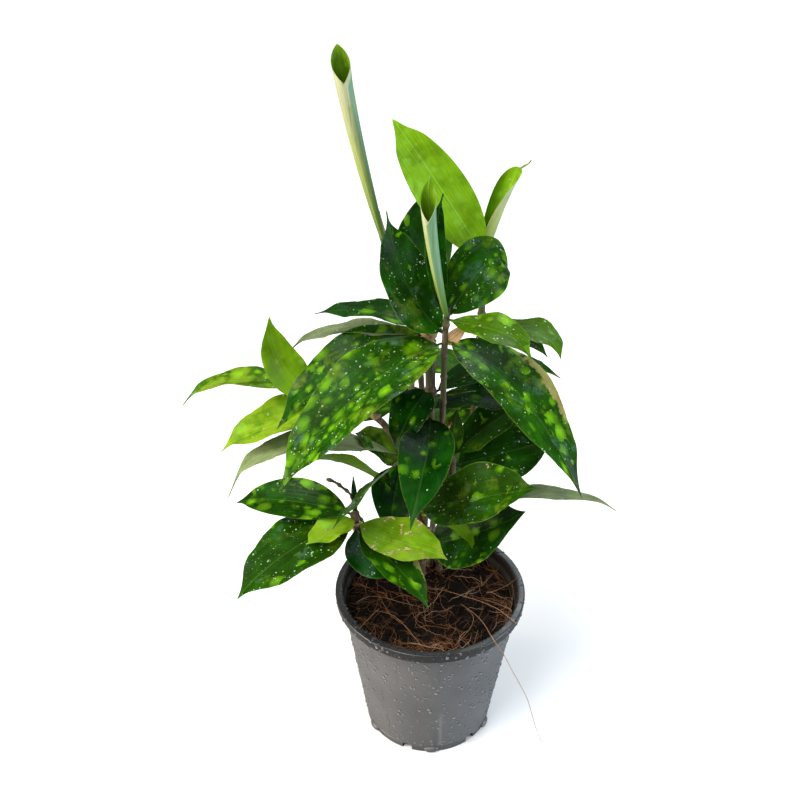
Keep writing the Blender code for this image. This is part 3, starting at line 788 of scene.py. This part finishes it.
blade_tree, (root, tip, width, lift, arch, bow, hook, ahead, roll, twist, fold, cup, tube_root,
             tube_top, belly_in, belly_out, drip, stalk, root_width, end_width, wave, edge,
             middle, stations, strips, serial, look, marks, patch, face_material,
             back_material) = new_tree(
    "leaf_blade", root_point=(0.0, 0.0, 0.0), tip=(0.0, 0.0, 0.0), width=30.0, lift=14.0,
    arch=10.0, bow=(0.0, 0.0, 0.0), hook=(0.0, 0.0, 0.0), ahead=(1.0, 0.0, 0.0), roll=0.0,
    twist=0.0, fold=12.0, cup=6.0, tube_root=0.0, tube_top=0.0, belly_in=0.83, belly_out=1.15,
    drip=0.35, stalk=0.05, root_width=0.9, end_width=0.5, wave=1.0, edge=0.13, middle=0.36,
    stations=52, strips=9, serial=0.0, look=(0.0, 0.0, 0.0), marks=(0.0, 0.0, 0.0),
    patch=(0.0, 0.0, 0.0), face="Material", back="Material")
up = (0.0, 0.0, 1.0)
grid = add(blade_tree, "GeometryNodeMeshGrid", Size_X=1.0, Size_Y=1.0, Vertices_X=stations,
           Vertices_Y=strips * 4.0 + 1.0)
# s runs from 0 at the root to 1 at the tip, and q from -1 to 1 across the blade. The grid's other
# half, where y is above 0, is the underside.
x, y, z = parts(position(blade_tree))
s = x + 0.5
lower = y > 0.0
q = abs(y) * 4.0 - 1.0
left = calc("SIGN", q)
reach = 1.0 - (1.0 - abs(q)) ** 1.6
chord = tip - root
near = root + chord * 0.35 + vector_of(0.0, 0.0, lift) + bow
far = root + chord * 0.75 + vector_of(0.0, 0.0, arch) + bow
r = 1.0 - s
midrib = root * r ** 3.0 + near * (3.0 * s * r * r) + far * (3.0 * s * s * r) + tip * s ** 3.0
along = (near - root) * r * r + (far - near) * (2.0 * s * r) + (tip - far) * s * s
along = calc("NORMALIZE", along)
side = calc("CROSS_PRODUCT", ahead, up)
side = calc("NORMALIZE", side - along * calc("DOT_PRODUCT", side, along))
face = calc("CROSS_PRODUCT", side, along)
turn = (roll + twist * s) * math.radians(1)
side, face = (side * calc("COSINE", turn) + face * calc("SINE", turn),
              face * calc("COSINE", turn) - side * calc("SINE", turn))
length = calc("LENGTH", chord) * LENGTH_PER_CHORD
blade_s = calc("MINIMUM", calc("MAXIMUM", (s - stalk) / (1.0 - stalk), 0.0), 1.0)
belly = belly_in / (belly_in + belly_out)
outline = (blade_s ** belly_in * (1.0 - blade_s) ** belly_out
           / (belly ** belly_in * (1.0 - belly) ** belly_out))
outline = outline * (1.0 - drip * ramp(s, 0.80, 0.95))
least = root_width + (end_width - root_width) * ramp(s, 0.2, 0.4)
half = calc("MAXIMUM", width * 0.5 * outline, least)
ends = calc("MINIMUM", s, r) * (stations - 1.0)
rolled = tube_top > 0.1
tube = calc("MAXIMUM", tube_root + (tube_top - tube_root) * s ** 0.55, 0.1)
half = mixed(half, calc("MINIMUM", half, tube * LARGEST_WRAP), rolled)
curl = mixed(cup * math.radians(1), half / tube, rolled)
curl = calc("MAXIMUM", curl, 0.01)
half = half * calc("MINIMUM", ends, 1.0)
bend = fold * math.radians(1)
angle = bend + curl * reach
out = half * (calc("SINE", angle) - calc("SINE", bend)) / curl
rise = half * (calc("COSINE", bend) - calc("COSINE", angle)) / curl
phase = s * (math.tau * MARGIN_WAVES) + 1.3 * (q > 0.0)
full = calc("MINIMUM", half / 8.0, 1.0)
place = vector_of(s * length, left * reach * half, serial * PATTERN_STEP)
ripple = (noise(place, 0.11, 2.0) - 0.5) * 2.4 + (noise(place, 0.3, 1.0) - 0.5) * 0.7
rise = rise + full * wave * reach * reach * (calc("SINE", phase) + ripple)
normal = face * calc("COSINE", angle) - side * left * calc("SINE", angle)
body = edge + (middle + 0.3 * ramp(s, 0.14, 0.02) - edge) * (1.0 - reach) ** 2.0
body = body * calc("SQRT", calc("MAXIMUM", 1.0 - reach ** 8.0, 0.0))
shift = body * (1.0 - 2.0 * lower) * calc("MINIMUM", ends, 1.0)
shift = shift - rolled * 0.5 * (q > 0.0) * ramp(reach, 0.3, 0.95)
hooked = hook * ramp(s, 0.8, 1.0) ** 2.0
point = midrib + hooked + side * left * out + face * rise + normal * shift
shape = grid
for label, value in (("place", place), ("shape", vector_of(s, left * reach, lower)),
                     ("look", look), ("marks", marks), ("patch", patch)):
    shape = stored(shape, f"leaf_{label}", value)
shape = then(shape, "SetMaterial", Material=face_material)
shape = then(shape, "SetMaterial", Selection=lower, Material=back_material)
shape = then(shape, "SetPosition", Position=point * MM)
shape = then(shape, "MergeByDistance", Distance=0.000005)
end_tree(then(shape, "SetShadeSmooth"))

# Canes: slender woody stems, ringed by the scars of fallen leaves, with a dry brown skin that
# turns green higher up. The tree sweeps a ring along a smooth path and swells it at the scars.
PATH_STEPS = 24
STEM_SHARP_ANGLE = 60

cane_tree, (path, radius, spacing, swell, uneven, sides, material) = new_tree(
    "cane", path="Geometry", radius=2.0, spacing=19.0, swell=0.28, uneven=0.08, sides=14,
    material="Material")
line = add(cane_tree, "GeometryNodeMeshToCurve", Mesh=path)
line = add(cane_tree, "GeometryNodeCurveSplineType", {"spline_type": "CATMULL_ROM"}, Curve=line)
line = then(line, "SetSplineResolution", Resolution=PATH_STEPS)
line = add(cane_tree, "GeometryNodeResampleCurve", {"mode": "LENGTH"}, Curve=line,
           Length=0.8 * MM)
travelled = add(cane_tree, "GeometryNodeSplineParameter").out("Length") / MM
spot = position(cane_tree)
slow = noise(spot, 30.0, 1.0)
turns = travelled / spacing + slow * 1.6
away = abs(calc("FRACT", turns) - 0.5) * spacing
ringed = ramp(away, 1.9, 0.2)
line = stored(line, "cane_ring", ringed)
bumps = 1.0 + swell * ringed + uneven * (noise(spot, 160.0, 2.0) - 0.5) * 2.0
ring = add(cane_tree, "GeometryNodeCurvePrimitiveCircle", Resolution=sides, Radius=1.0)
shape = add(cane_tree, "GeometryNodeCurveToMesh", Curve=line, Profile_Curve=ring,
            Scale=radius * bumps * MM, Fill_Caps=True)
shape = then(shape, "SetShadeSmooth")
end_tree(then(shape, "SetMaterial", Material=material))

cane_bark, tree, shader = new_material("cane_bark", IOR=1.45)
where = place_of(tree)
x, y, z = parts(where)
ringed = carried(tree, "cane_ring", "Fac")
fibre = noise(vector_of(x * 900.0, y * 900.0, z * 60.0), 1.0, 3.0, 0.6)
cloud = noise(where, 60.0, 2.0)
colour = mixed((0.045, 0.031, 0.016), (0.165, 0.12, 0.064), ramp(fibre, 0.3, 0.7))
colour = mixed(colour, (0.08, 0.115, 0.03), ramp(z, 0.15, 0.28) * ramp(cloud, 0.38, 0.6) * 0.7)
colour = mixed(colour, (0.03, 0.018, 0.008), ramp(cloud, 0.55, 0.7) * 0.6)
colour = mixed(colour, (0.17, 0.11, 0.05), ringed * 0.5)
surface(shader, height=fibre * 0.8 + cloud, distance=0.0003, Base_Color=colour,
        Roughness=0.6 + 0.2 * (fibre - 0.5))

dry_sheath, tree, shader = new_material("dry_sheath", IOR=1.45)
place = carried(tree, "leaf_place")
lines = use(tree, leaf_veins, Place=place)
tone = noise(place, 0.2, 2.0)
colour = mixed((0.26, 0.14, 0.05), (0.60, 0.44, 0.24), ramp(lines, 0.3, 0.7))
colour = mixed(colour, (0.34, 0.13, 0.02), ramp(tone, 0.5, 0.7) * 0.7)
surface(shader, height=lines + lines.out("Broad"), distance=0.0003, Base_Color=colour,
        Roughness=0.72 + 0.2 * (tone - 0.5))


def point_on(route, height):
    """The point of a smooth path at a height, or its end above that."""
    ends = [Vector(point) for point in [route[0], *route, route[-1]]]
    last = ends[1]
    for before, start, end, after in zip(ends, ends[1:], ends[2:], ends[3:]):
        for i in range(1, PATH_STEPS + 1):
            t = i / PATH_STEPS
            here = (start * (2 * t ** 3 - 3 * t ** 2 + 1) + end * (3 * t ** 2 - 2 * t ** 3)
                    + (end - before) / 2 * (t ** 3 - 2 * t ** 2 + t)
                    + (after - start) / 2 * (t ** 3 - t ** 2))
            if last.z <= height <= here.z:
                return last.lerp(here, (height - last.z) / max(here.z - last.z, 0.001))
            last = here
    return last


def swept(name, route, material, **sizes):
    """A tube along a route in millimetres."""
    mesh = bpy.data.meshes.new(name)
    mesh.from_pydata([Vector(point) * MM for point in route],
                     [(i, i + 1) for i in range(len(route) - 1)], [])
    return grown(name, cane_tree, mesh=mesh, material=material, **sizes)


serial_numbers = iter(range(1, 1000))


def typed(key, value):
    """A size in the type of its input: a whole number, a vector or a plain number."""
    if key in ("stations", "strips"):
        return value
    return tuple(map(float, value)) if isinstance(value, tuple) else float(value)


# Past 1, the age setting paints the glow of light that shines through a thin blade.
def leaf(route, node, tip, width, heading=None, age=0.12, spots=0.55, wet=0.3, scars=0.0,
         brown=0.08, yellow=0.3, patch=(0, 0, 0), face=leaf_face, back=leaf_back, **form):
    """One blade, from a node of a cane to its tip."""
    root = point_on(route, node) if len(route) > 1 else Vector(route[0])
    chord = Vector(tip) - root
    turn = math.atan2(chord.y, chord.x) if heading is None else math.radians(heading)
    number = next(serial_numbers)
    return grown(f"leaf_{number}", blade_tree, root_point=tuple(root),
                 tip=tuple(map(float, tip)), width=float(width),
                 ahead=(math.cos(turn), math.sin(turn), 0.0), serial=float(number),
                 look=(age, spots, wet), marks=(scars, brown, yellow),
                 patch=tuple(map(float, patch)), face=face, back=back,
                 **{key: typed(key, value) for key, value in form.items()})


def sheath(route, node, turn, reach=10.0, radius=2.4, wide=11.0, flare=3.0):
    """A dry brown leaf base that still wraps a cane."""
    out = Vector((math.cos(math.radians(turn)), math.sin(math.radians(turn)), 0.0))
    root = point_on(route, node) + out * radius
    return leaf([root], 0, root + out * flare + Vector((0, 0, reach)), wide, heading=turn, spots=0,
                yellow=0, brown=0, lift=0, arch=0, fold=0, wave=0.3, tube_root=radius,
                tube_top=radius * 1.5, belly_in=0.05, belly_out=0.6, drip=0.0, stalk=0.0,
                root_width=wide / 2, stations=14, strips=4, face=dry_sheath, back=dry_sheath)


def joined(name, items):
    """The items as one object of that name."""
    first = items[0]
    with bpy.context.temp_override(active_object=first, selected_objects=items,
                                   selected_editable_objects=items):
        bpy.ops.object.join()
    first.name = name
    first.data.name = name
    first.data.set_sharp_from_angle(angle=math.radians(STEM_SHARP_ANGLE))
    return first


stems = []


def stem(name, node, radius, route, leaves, extras=()):
    """A cane with its leaves, which stands for one node of the solid model."""
    items = [swept(name, route, cane_bark, radius=float(radius))]
    items += [leaf(route, *given, **form) for *given, form in leaves]
    items += extras
    made = joined(name, items)
    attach(made, "root")
    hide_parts(node)
    stems.append(made)


SPEAR = dict(lift=0, fold=0, wave=0, strips=12, stations=96, belly_in=0.02, drip=0.0, stalk=0.0,
             end_width=0.4, back=spear_back, spots=0.3, brown=0.0, wet=0.0)
TURNED_OVER = dict(face=leaf_back, back=leaf_face)

# Centre cane: the tallest at the middle. A rolled young leaf stands at its top, others rise and
# spread round it, and two big spotted ones hang forwards.
route = [(8, 36, 82), (8, 36, 106), (6, 20, 148), (5, 2, 203), (5, -3, 246), (5, -4, 284),
         (6, -4, 305)]
stem("cane_centre", "leafy_stem_centre", 1.7, route, [
    (300, (-5.5, -8, 378), 74, dict(arch=0, bow=(-2.5, 0, 0), hook=(1, 0, 0), heading=80,
        tube_root=0.7, tube_top=4.0, root_width=3.6, age=0.75, **SPEAR)),
    (298, (2.6, -1, 366.7), 11, dict(lift=0, arch=0, bow=(-6, 2, 0), heading=90, age=0.0, spots=0.2,
        drip=0.7)),
    (298, (38, 12, 323), 34, dict(lift=14, arch=18, bow=(0, -3, 0), roll=-45, heading=40,
        belly_in=0.7, belly_out=0.8, drip=0.2, age=0.04, spots=0.85, wet=1.0)),
    (289, (-26, 12, 353), 36, dict(lift=-4, arch=-4, bow=(-5, -4, -7), roll=-18, heading=110,
        fold=10, drip=0.75, age=0.03, spots=0.15, yellow=0.35, wet=1.0)),
    (289, (-66, 12, 293), 21, dict(lift=10, arch=7, roll=4, age=0.02, spots=0.3, drip=0.6)),
    (298, (48, -36, 291), 20, dict(lift=3, arch=15, roll=-20, heading=-20, belly_in=1.0,
        belly_out=0.9, age=0.28, drip=0.6, spots=0.5, wet=0.7)),
    (285, (76, -60, 222), 44, dict(lift=24, arch=24, fold=10, age=0.04, spots=0.68, yellow=0.6,
        brown=0.0, patch=(0.55, 0.3, -1), wet=1.0, drip=0.5)),
    (284, (-82, -60, 226), 47, dict(lift=20, arch=22, roll=4, fold=10, belly_in=0.62, belly_out=1.0,
        age=0.05, spots=1.45, yellow=0.5, wet=1.0)),
], [
    leaf(route, 284, (15.9, -8, 296.6), 7.5, heading=10, spots=0, yellow=0, brown=0, lift=-2,
        arch=0, fold=0, cup=30, wave=0.2, roll=-65, belly_in=0.4, belly_out=0.8, drip=0.1,
        stations=20, strips=4, face=dry_sheath, back=dry_sheath),
    sheath(route, 224, -20, reach=8),
])

# Thick cane: the oldest, just left of the middle, with large dark leaves on all sides. Dry
# brown leaf bases still wrap it at three scars.
route = [(-5, 21, 82), (-5, 21, 106), (-4, 12, 159), (-2, 5, 225), (-2, 8, 259), (-3, 10, 302)]
stem("cane_thick", "leafy_stem_thick", 2.8, route, [
    (300, (3, 44, 354), 32, dict(lift=0, arch=0, bow=(-7, 3, 0), heading=90, roll=10, age=0.02,
        spots=0.2, brown=0.2)),
    (283, (-87, -18, 237), 40, dict(lift=14, arch=14, roll=14, age=0.04, spots=0.9, yellow=0.6,
        wet=0.7)),
    (281, (-85, 25, 262), 18, dict(lift=8, arch=16, spots=0.2, hook=(0, 0, -3), **TURNED_OVER)),
    (244, (74, 20, 247), 32, dict(lift=18, arch=16, age=0.02, spots=0.3)),
    (231, (-14, -80, 217), 31, dict(lift=9, arch=17, bow=(4, 0, 0), age=0.0, spots=0.16, wet=0.1,
        brown=0.1, drip=0.5)),
    (243, (23.8, 2, 250), 5, dict(lift=0, arch=1, cup=30, age=0.55, spots=0.0, stations=24,
        strips=4)),
    (235, (52, 0, 235), 28, dict(bow=(0, 4, 0), lift=10, arch=8, age=0.0, spots=0.1)),
    (248, (-22, -16, 221), 28, dict(lift=8, arch=8, age=0.0, spots=0.3)),
], [
    sheath(route, 276, 200, reach=11, radius=3.4, wide=16),
    sheath(route, 280, 300, reach=9, radius=3.3, wide=13),
    sheath(route, 213, 250, reach=9, radius=3.4, wide=15, flare=2),
])

# Back right cane: carries the two newest leaves, light green at the very top. The right one is
# still half rolled, with a withered thread at its tip.
route = [(20, 38, 82), (20, 38, 106), (22, 34, 168), (26, 30, 232), (27, 30, 270), (27, 30, 324)]
stem("cane_back_right", "leafy_stem_back_right", 2.0, route, [
    # Its age past 1 paints the glow of light through the thin blade.
    (318, (-22.8, 4, 402), 28, dict(lift=3, arch=2, bow=(0.5, -4, 0), heading=90, roll=-20, fold=8,
        cup=4, wave=0.2, belly_in=0.6, belly_out=0.85, drip=0.4, age=1.4, spots=1.5, wet=0.1)),
    # Its age past 1 paints the glow of light through the thin blade.
    (316, (44.2, 36, 367), 22, dict(lift=0, arch=0, bow=(-2, 0, 1), heading=40, fold=0, wave=0,
        tube_root=2.4, tube_top=5.4, belly_in=0.3, belly_out=0.5, stalk=0.0, root_width=5, drip=0.0,
        age=1.1, spots=0.6, wet=0.1, patch=(3, 0, 0), back=spear_back, stations=70)),
    (276, (69, 0, 271), 25, dict(lift=5, arch=11, bow=(7, 0, 1), age=0.3, wet=0.8, spots=0.3)),
    (272, (63, 8, 268), 20, dict(lift=6, arch=8)),
], [
    leaf([(43.2, 36, 364.5)], 0, (50.3, 38, 370.6), 2.4, heading=0, lift=1, arch=-2, cup=60,
        age=0.9, spots=0, belly_in=0.1, belly_out=0.9, drip=0, stations=24, strips=4),
])

# Tall left cane: bare up to one long young leaf, the highest point of the plant. The leaf is
# still rolled round itself like a quill and stands in a dry brown sheath.
route = [(-6, 40, 82), (-6, 40, 106), (-6, 32, 163), (-6, 28, 232), (-11, 28, 268),
         (-20, 30, 299), (-29, 31, 332)]
stem("cane_tall_left", "leafy_stem_tall_left", 1.8, route, [
    (329, (-49, 21, 433), 108, dict(arch=-2, heading=95, bow=(-2.2, 0, 0), tube_root=0.7,
        tube_top=4.5, belly_out=0.9, root_width=4.2, age=0.8, hook=(-0.3, 0, 0), patch=(0.8, 0, 0),
        **SPEAR)),
], [
    sheath(route, 330, 10, reach=15, radius=2.1, wide=8, flare=-4),
])

# Left cane: leans far out to the left and ends in slim arching leaves. It stands upright in
# the mix and bends over under the weight of its crown.
route = [(-17, 30, 82), (-17, 30, 106), (-17, 12, 160), (-18, 0, 204), (-25, 0, 224),
         (-37, 4, 234), (-65, 14, 240), (-70, 16, 242)]
stem("cane_left", "leafy_stem_left", 2.0, route, [
    # Its age past 1 paints the glow of light through the thin blade.
    (240, (-90, 10, 293), 23, dict(lift=-8, arch=-8, bow=(-9, 0, -2), roll=-10, heading=110,
        belly_in=0.7, belly_out=1.0, age=1.5, spots=0.5, wet=0.2)),
    (240, (-148, 25, 225), 22, dict(lift=16, arch=19, bow=(-6, 0, 1), spots=0.9, age=0.2,
        yellow=1.0)),
    (238, (-121, -5, 216), 36, dict(lift=0, arch=3, roll=4, fold=16, age=0.75, spots=0.3, wet=0.5,
        yellow=1.2, hook=(-1, 0, -3))),
    (207, (-118, -15, 195), 25, dict(lift=24, arch=30, bow=(-5, 0, 0), spots=0.1, age=0.4,
        hook=(-1, 0, -8), **TURNED_OVER)),
    (172, (-79, 20, 186), 22, dict(lift=11, arch=18, roll=-50, age=0.5, spots=0.1, **TURNED_OVER)),
    (197, (-45, 4, 220), 26, dict(lift=4, arch=4, roll=10, age=0.1, spots=0.6, yellow=0.8)),
    (203, (-55, -62, 203), 17, dict(lift=8, arch=2, roll=-52, twist=16, fold=4, cup=4, age=0.1,
        spots=0.2)),
    (200, (-25, -29, 173), 29, dict(lift=8, arch=7, age=0.0, spots=0.2)),
], [
    sheath(route, 196, 230, reach=8, radius=2.6),
    sheath(route, 232, 250, reach=6, radius=2.6),
])

# Front left cane: short, with the big glossy leaves that spread over the rim at the front. A
# thin knobbly twig without leaves grows out of it to the left.
route = [(-16, 18, 82), (-16, 18, 106), (-24, 0, 136), (-40, -28, 169), (-45, -35, 192)]
twig = swept("twig", [(-39, -25, 176), (-43, -25, 184), (-46.5, -25, 197), (-51, -25.5, 203),
                      (-55.5, -26, 207.5), (-60, -26, 209.5)], cane_bark, radius=0.75, spacing=6.0,
             swell=0.7, uneven=0.2, sides=8)
stem("cane_front_left", "leafy_stem_front_left", 2.2, route, [
    (191, (-113, -20, 188), 29, dict(lift=7, arch=8, roll=16, age=0.04, spots=1.0, wave=0.2)),
    (186, (-107, -75, 165), 44, dict(lift=11, arch=13, fold=5, cup=4, age=0.06, spots=0.22, wet=1.3,
        yellow=0.35)),
    # Its age past 1 paints the glow of light through the thin blade.
    (189, (-69.4, -62, 193), 21, dict(lift=0, arch=-3, roll=-4, belly_in=0.75, drip=0.6,
        age=1.2, spots=0.2, yellow=1.2)),
    (186, (7, -60, 180), 31, dict(lift=-7, arch=4, roll=-10, age=0.85, scars=1.0, spots=0.2,
        yellow=1.0, drip=0.5)),
    (182, (-3.5, -77, 160), 25, dict(lift=-3, arch=12, age=0.05, spots=0.6, patch=(0.55, 0.3, -1))),
    (183, (-12, -38, 155), 34, dict(bow=(-11, -2, -2), lift=0, arch=-4, roll=-32, belly_in=0.5,
        belly_out=1.1, age=0.0, spots=0.2, wet=0.6)),
], [
    twig,
    sheath(route, 176, 210, reach=8, radius=2.6, wide=8),
    sheath(route, 184, 300, reach=5, radius=2.5, wide=7),
    leaf(route, 186, (-45.5, -18, 206), 5, spots=0, age=0, lift=0, arch=0, cup=60, stations=20,
        strips=4),
])

# Right cane: short, with one broad dark leaf and a pale narrow one held out to the right. The
# narrow one is turned over and shows its matt underside.
route = [(17, 27, 82), (17, 27, 106), (13, 18, 152), (12, 5, 205)]
stem("cane_right", "leafy_stem_right", 2.0, route, [
    (194, (72, 15, 209), 40, dict(lift=0, arch=-2, roll=-35, age=0.03, spots=0.25, wet=0.8)),
    (203, (54, 18, 231), 28, dict(lift=4, arch=4, roll=-10, age=0.05, spots=0.1, wet=1.0)),
    (202, (14, 10, 233), 12, dict(lift=0, arch=0, bow=(-1, 0, 0), heading=80)),
    (156, (112, 0, 168), 14, dict(lift=13, arch=15, age=0.2, spots=0.1, brown=0.2, hook=(0, 0, -2),
        **TURNED_OVER)),
])

# Front cane: the lowest, with two broad dark leaves and a small bright new one hanging down.
# It leans forwards out of the mix.
route = [(6, 24, 82), (6, 24, 106), (-3, 2, 140), (-10, -8, 181)]
stem("cane_front", "leafy_stem_front", 2.0, route, [
    (172, (56, -40, 214), 42, dict(lift=2, arch=0, roll=-28, age=0.08, spots=0.18, scars=0.45,
        yellow=0.5, wet=0.8, drip=0.5)),
    (137, (52, -30, 190), 46, dict(lift=-4, arch=-6, roll=-42, age=0.02, spots=0.4)),
    # Its age past 1 paints the glow of light through the thin blade.
    (168, (24.5, -24, 153), 9, dict(lift=4, arch=4, bow=(7, 0, 6), roll=-20, age=2.0, spots=0.0)),
])

# Back canes: two more on the far side, whose leaves arch backwards, so that the plant is as full
# there as at its front.
route = [(1, 31, 82), (1, 31, 106), (4, 46, 142), (6, 58, 176), (6, 61, 192)]
stem("cane_back", "leafy_stem_back", 2.0, route, [
    (187, (-54, 116, 160), 38, dict(lift=18, arch=18, spots=0.9, age=0.05)),
    (186, (12, 136, 156), 40, dict(lift=20, arch=20, spots=0.8, age=0.2, wet=0.7)),
    (184, (76, 108, 168), 38, dict(lift=18, arch=18, spots=1.0, age=0.08)),
    (162, (-48, 108, 134), 36, dict(lift=12, arch=12, age=0.3)),
    (150, (54, 100, 120), 36, dict(lift=14, arch=14, spots=0.5)),
    (142, (-6, 112, 106), 34, dict(lift=12, arch=12, brown=0.4, age=0.02)),
])
route = [(-15, 41, 82), (-15, 41, 106), (-14, 52, 160), (-12, 58, 215), (-11, 60, 250)]
stem("cane_back_tall", "leafy_stem_back_tall", 2.0, route, [
    (244, (-66, 100, 200), 38, dict(lift=16, arch=20, spots=0.9, age=0.05, wet=0.7)),
    (242, (-18, 136, 188), 40, dict(lift=16, arch=20, spots=1.0, age=0.1, yellow=0.6)),
    (226, (50, 112, 190), 38, dict(lift=12, arch=14, age=0.12)),
    (204, (-72, 60, 172), 36, dict(lift=12, arch=14, age=0.05, spots=0.7)),
])

# Leaf drops: the same mist on the upper faces of the leaves, thickest on the wettest ones. They
# are round beads of partly clear water, about a millimetre across at most, with a painted glint
# on top and painted shade below.
drops = [grown(f"drops_{i}", bead_tree, on=made, density=100000.0, smallest=0.3, largest=1.15,
               lowest=0.1, highest=1.0, clumping=0.6, by_leaf=1.0, tall=0.6, seed=40 + i,
               material=water_on_leaf) for i, made in enumerate(stems)]
leaf_drops = joined("leaf_water_beads", drops)
leaf_drops.visible_shadow = False
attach(leaf_drops, "root")

# Long loose roots: single springy strands that lie over the mix and cross the rim. The longest
# arches out over the front right of the rim and touches the ground with its tip.
loose = [swept(f"root_{i}", route, root_pale, radius=thick / 2, spacing=40.0, swell=0.1,
               uneven=0.25, sides=6) for i, (thick, route) in enumerate([
    (0.42, [(18, -4, 96), (27, -18, 100), (32, -31, 104), (36.2, -46.8, 107.2), (42.8, -50, 97.4),
            (48.8, -52, 85.2), (54, -53, 74.4), (59, -53, 62.3), (62.9, -52, 47.5),
            (67.2, -50, 30.9), (71.2, -47, 18), (74.4, -42, 8.5), (76, -37, 0.6)]),
    (0.42, [(-3, 6, 97), (5, 5.6, 98.3), (13, 2, 99.2), (22, -3.5, 100.6), (31.5, -10, 102.5),
            (40.6, -18, 104.4), (46, -26, 106.2), (51.3, -33.5, 106.6)]),
    (0.36, [(-43.6, -37.6, 106.6), (-39, -25.6, 101.8), (-33.6, -14, 98.5), (-31, -9.8, 97)]),
    (0.34, [(-46.4, -7, 98.6), (-42.6, -3.8, 99), (-38.6, 0, 97)]),
    (0.36, [(-10.7, -20.4, 98), (-6, -17, 99.6), (-1.5, -13, 97)]),
    (0.4, [(35, 3, 97), (42.2, 2.6, 100), (50.3, 4.5, 103.4), (58, 8.8, 106.7)]),
    (0.34, [(14, -42, 96.5), (21, -34, 98.6), (25, -28, 99.4), (26.4, -19.5, 99), (23, -11, 97)]),
    (0.34, [(46, 37, 96), (51, 24, 98.4), (53, 13, 98.8), (53.6, 3, 98.4), (51, -9, 96)]),
    (0.32, [(33, 9, 96.6), (39.6, 16, 99.6), (46, 27, 97)]),
    (0.36, [(-35, -12, 97), (-24, -18.4, 99), (-17.4, -26, 99.3), (-12, -34, 98.6), (-5, -43, 96)]),
    (0.34, [(-40, 1, 96.6), (-29, -2.8, 99), (-19, -7, 99), (-7, -9, 97.4)])])]
long_roots = joined("long_loose_roots", loose)
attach(long_roots, "root")

# Studio: a plain off-white floor under one soft sun from the upper left and front. A warm disk at
# the left and a cool one at the right brighten the pot's sides, a third behind and above gives
# the leaves their sheen, and the camera sees plain white behind the plant.
floor_mesh = bpy.data.meshes.new("floor")
floor_shape = bmesh.new()
bmesh.ops.create_grid(floor_shape, x_segments=1, y_segments=1, size=12.0)
floor_shape.to_mesh(floor_mesh)
floor_shape.free()
floor = link("floor", floor_mesh)
paper, tree, shader = new_material("floor_paper")
seen = add(tree, "ShaderNodeLightPath").out("Is Camera Ray")
grain = noise(place_of(tree), 3.0)
off_white = mixed((0.92, 0.92, 0.92), (0.94, 0.94, 0.94), grain)
surface(shader, Base_Color=mixed((0.3, 0.3, 0.3), off_white, seen), Roughness=0.9)
floor_mesh.materials.append(paper)


def soft_light(name, place, aim, size, power, colour):
    lamp = bpy.data.lights.new(name, "AREA")
    lamp.shape = "DISK"
    lamp.size = size
    lamp.energy = power
    lamp.color = colour
    item = link(name, lamp)
    item.location = place
    item.rotation_euler = (Vector(aim) - Vector(place)).to_track_quat("-Z", "Y").to_euler()


sun = bpy.data.lights.new("key", "SUN")
sun.energy = 2.25
sun.angle = math.radians(28)
sun.color = (1.0, 0.985, 0.95)
link("key", sun).rotation_euler = Vector((0.42, 0.38, -1.0)).to_track_quat("-Z", "Y").to_euler()
soft_light("sheen", (0.35, 0.9, 1.1), aim=(0, 0, 0.25), size=0.8, power=6,
           colour=(0.85, 0.94, 1.0))
soft_light("warm", (-1.0, -0.3, 0.3), aim=(0, 0, 0.08), size=0.7, power=14.5,
           colour=(1.0, 0.88, 0.78))
soft_light("cool", (1.0, -0.25, 0.3), aim=(0, 0, 0.08), size=0.7, power=11,
           colour=(0.74, 0.87, 1.0))
world = bpy.data.worlds.new("studio")
world.use_nodes = True
backdrop = world.node_tree.nodes["Background"]
high = parts(add(world.node_tree, "ShaderNodeTexCoord").out("Generated"))[2]
overhead = 0.14 + 0.9 * ramp(high, 0.3, 0.95)
glow = mixed(overhead, 1.25, add(world.node_tree, "ShaderNodeLightPath").out("Is Camera Ray"))
world.node_tree.links.new(vector_of(glow, glow, glow).socket, backdrop.inputs["Color"])
backdrop.inputs["Strength"].default_value = 0.79
bpy.context.scene.world = world
bpy.context.scene.view_settings.view_transform = "Standard"

# Camera: stands in front of the plant and looks down on it, as the photograph was taken. At
# rest it looks straight down, so it is turned up by what its tilt leaves of a right angle.
DOWNWARD_TILT = 32
lens = bpy.data.cameras.new("camera")
lens.lens = 45.0
lens.sensor_width = 36.0
camera = link("camera", lens)
camera.location = (-0.019, -0.475, 0.542)
camera.rotation_euler = (math.radians(90 - DOWNWARD_TILT), 0.0, 0.0)
bpy.context.scene.camera = camera
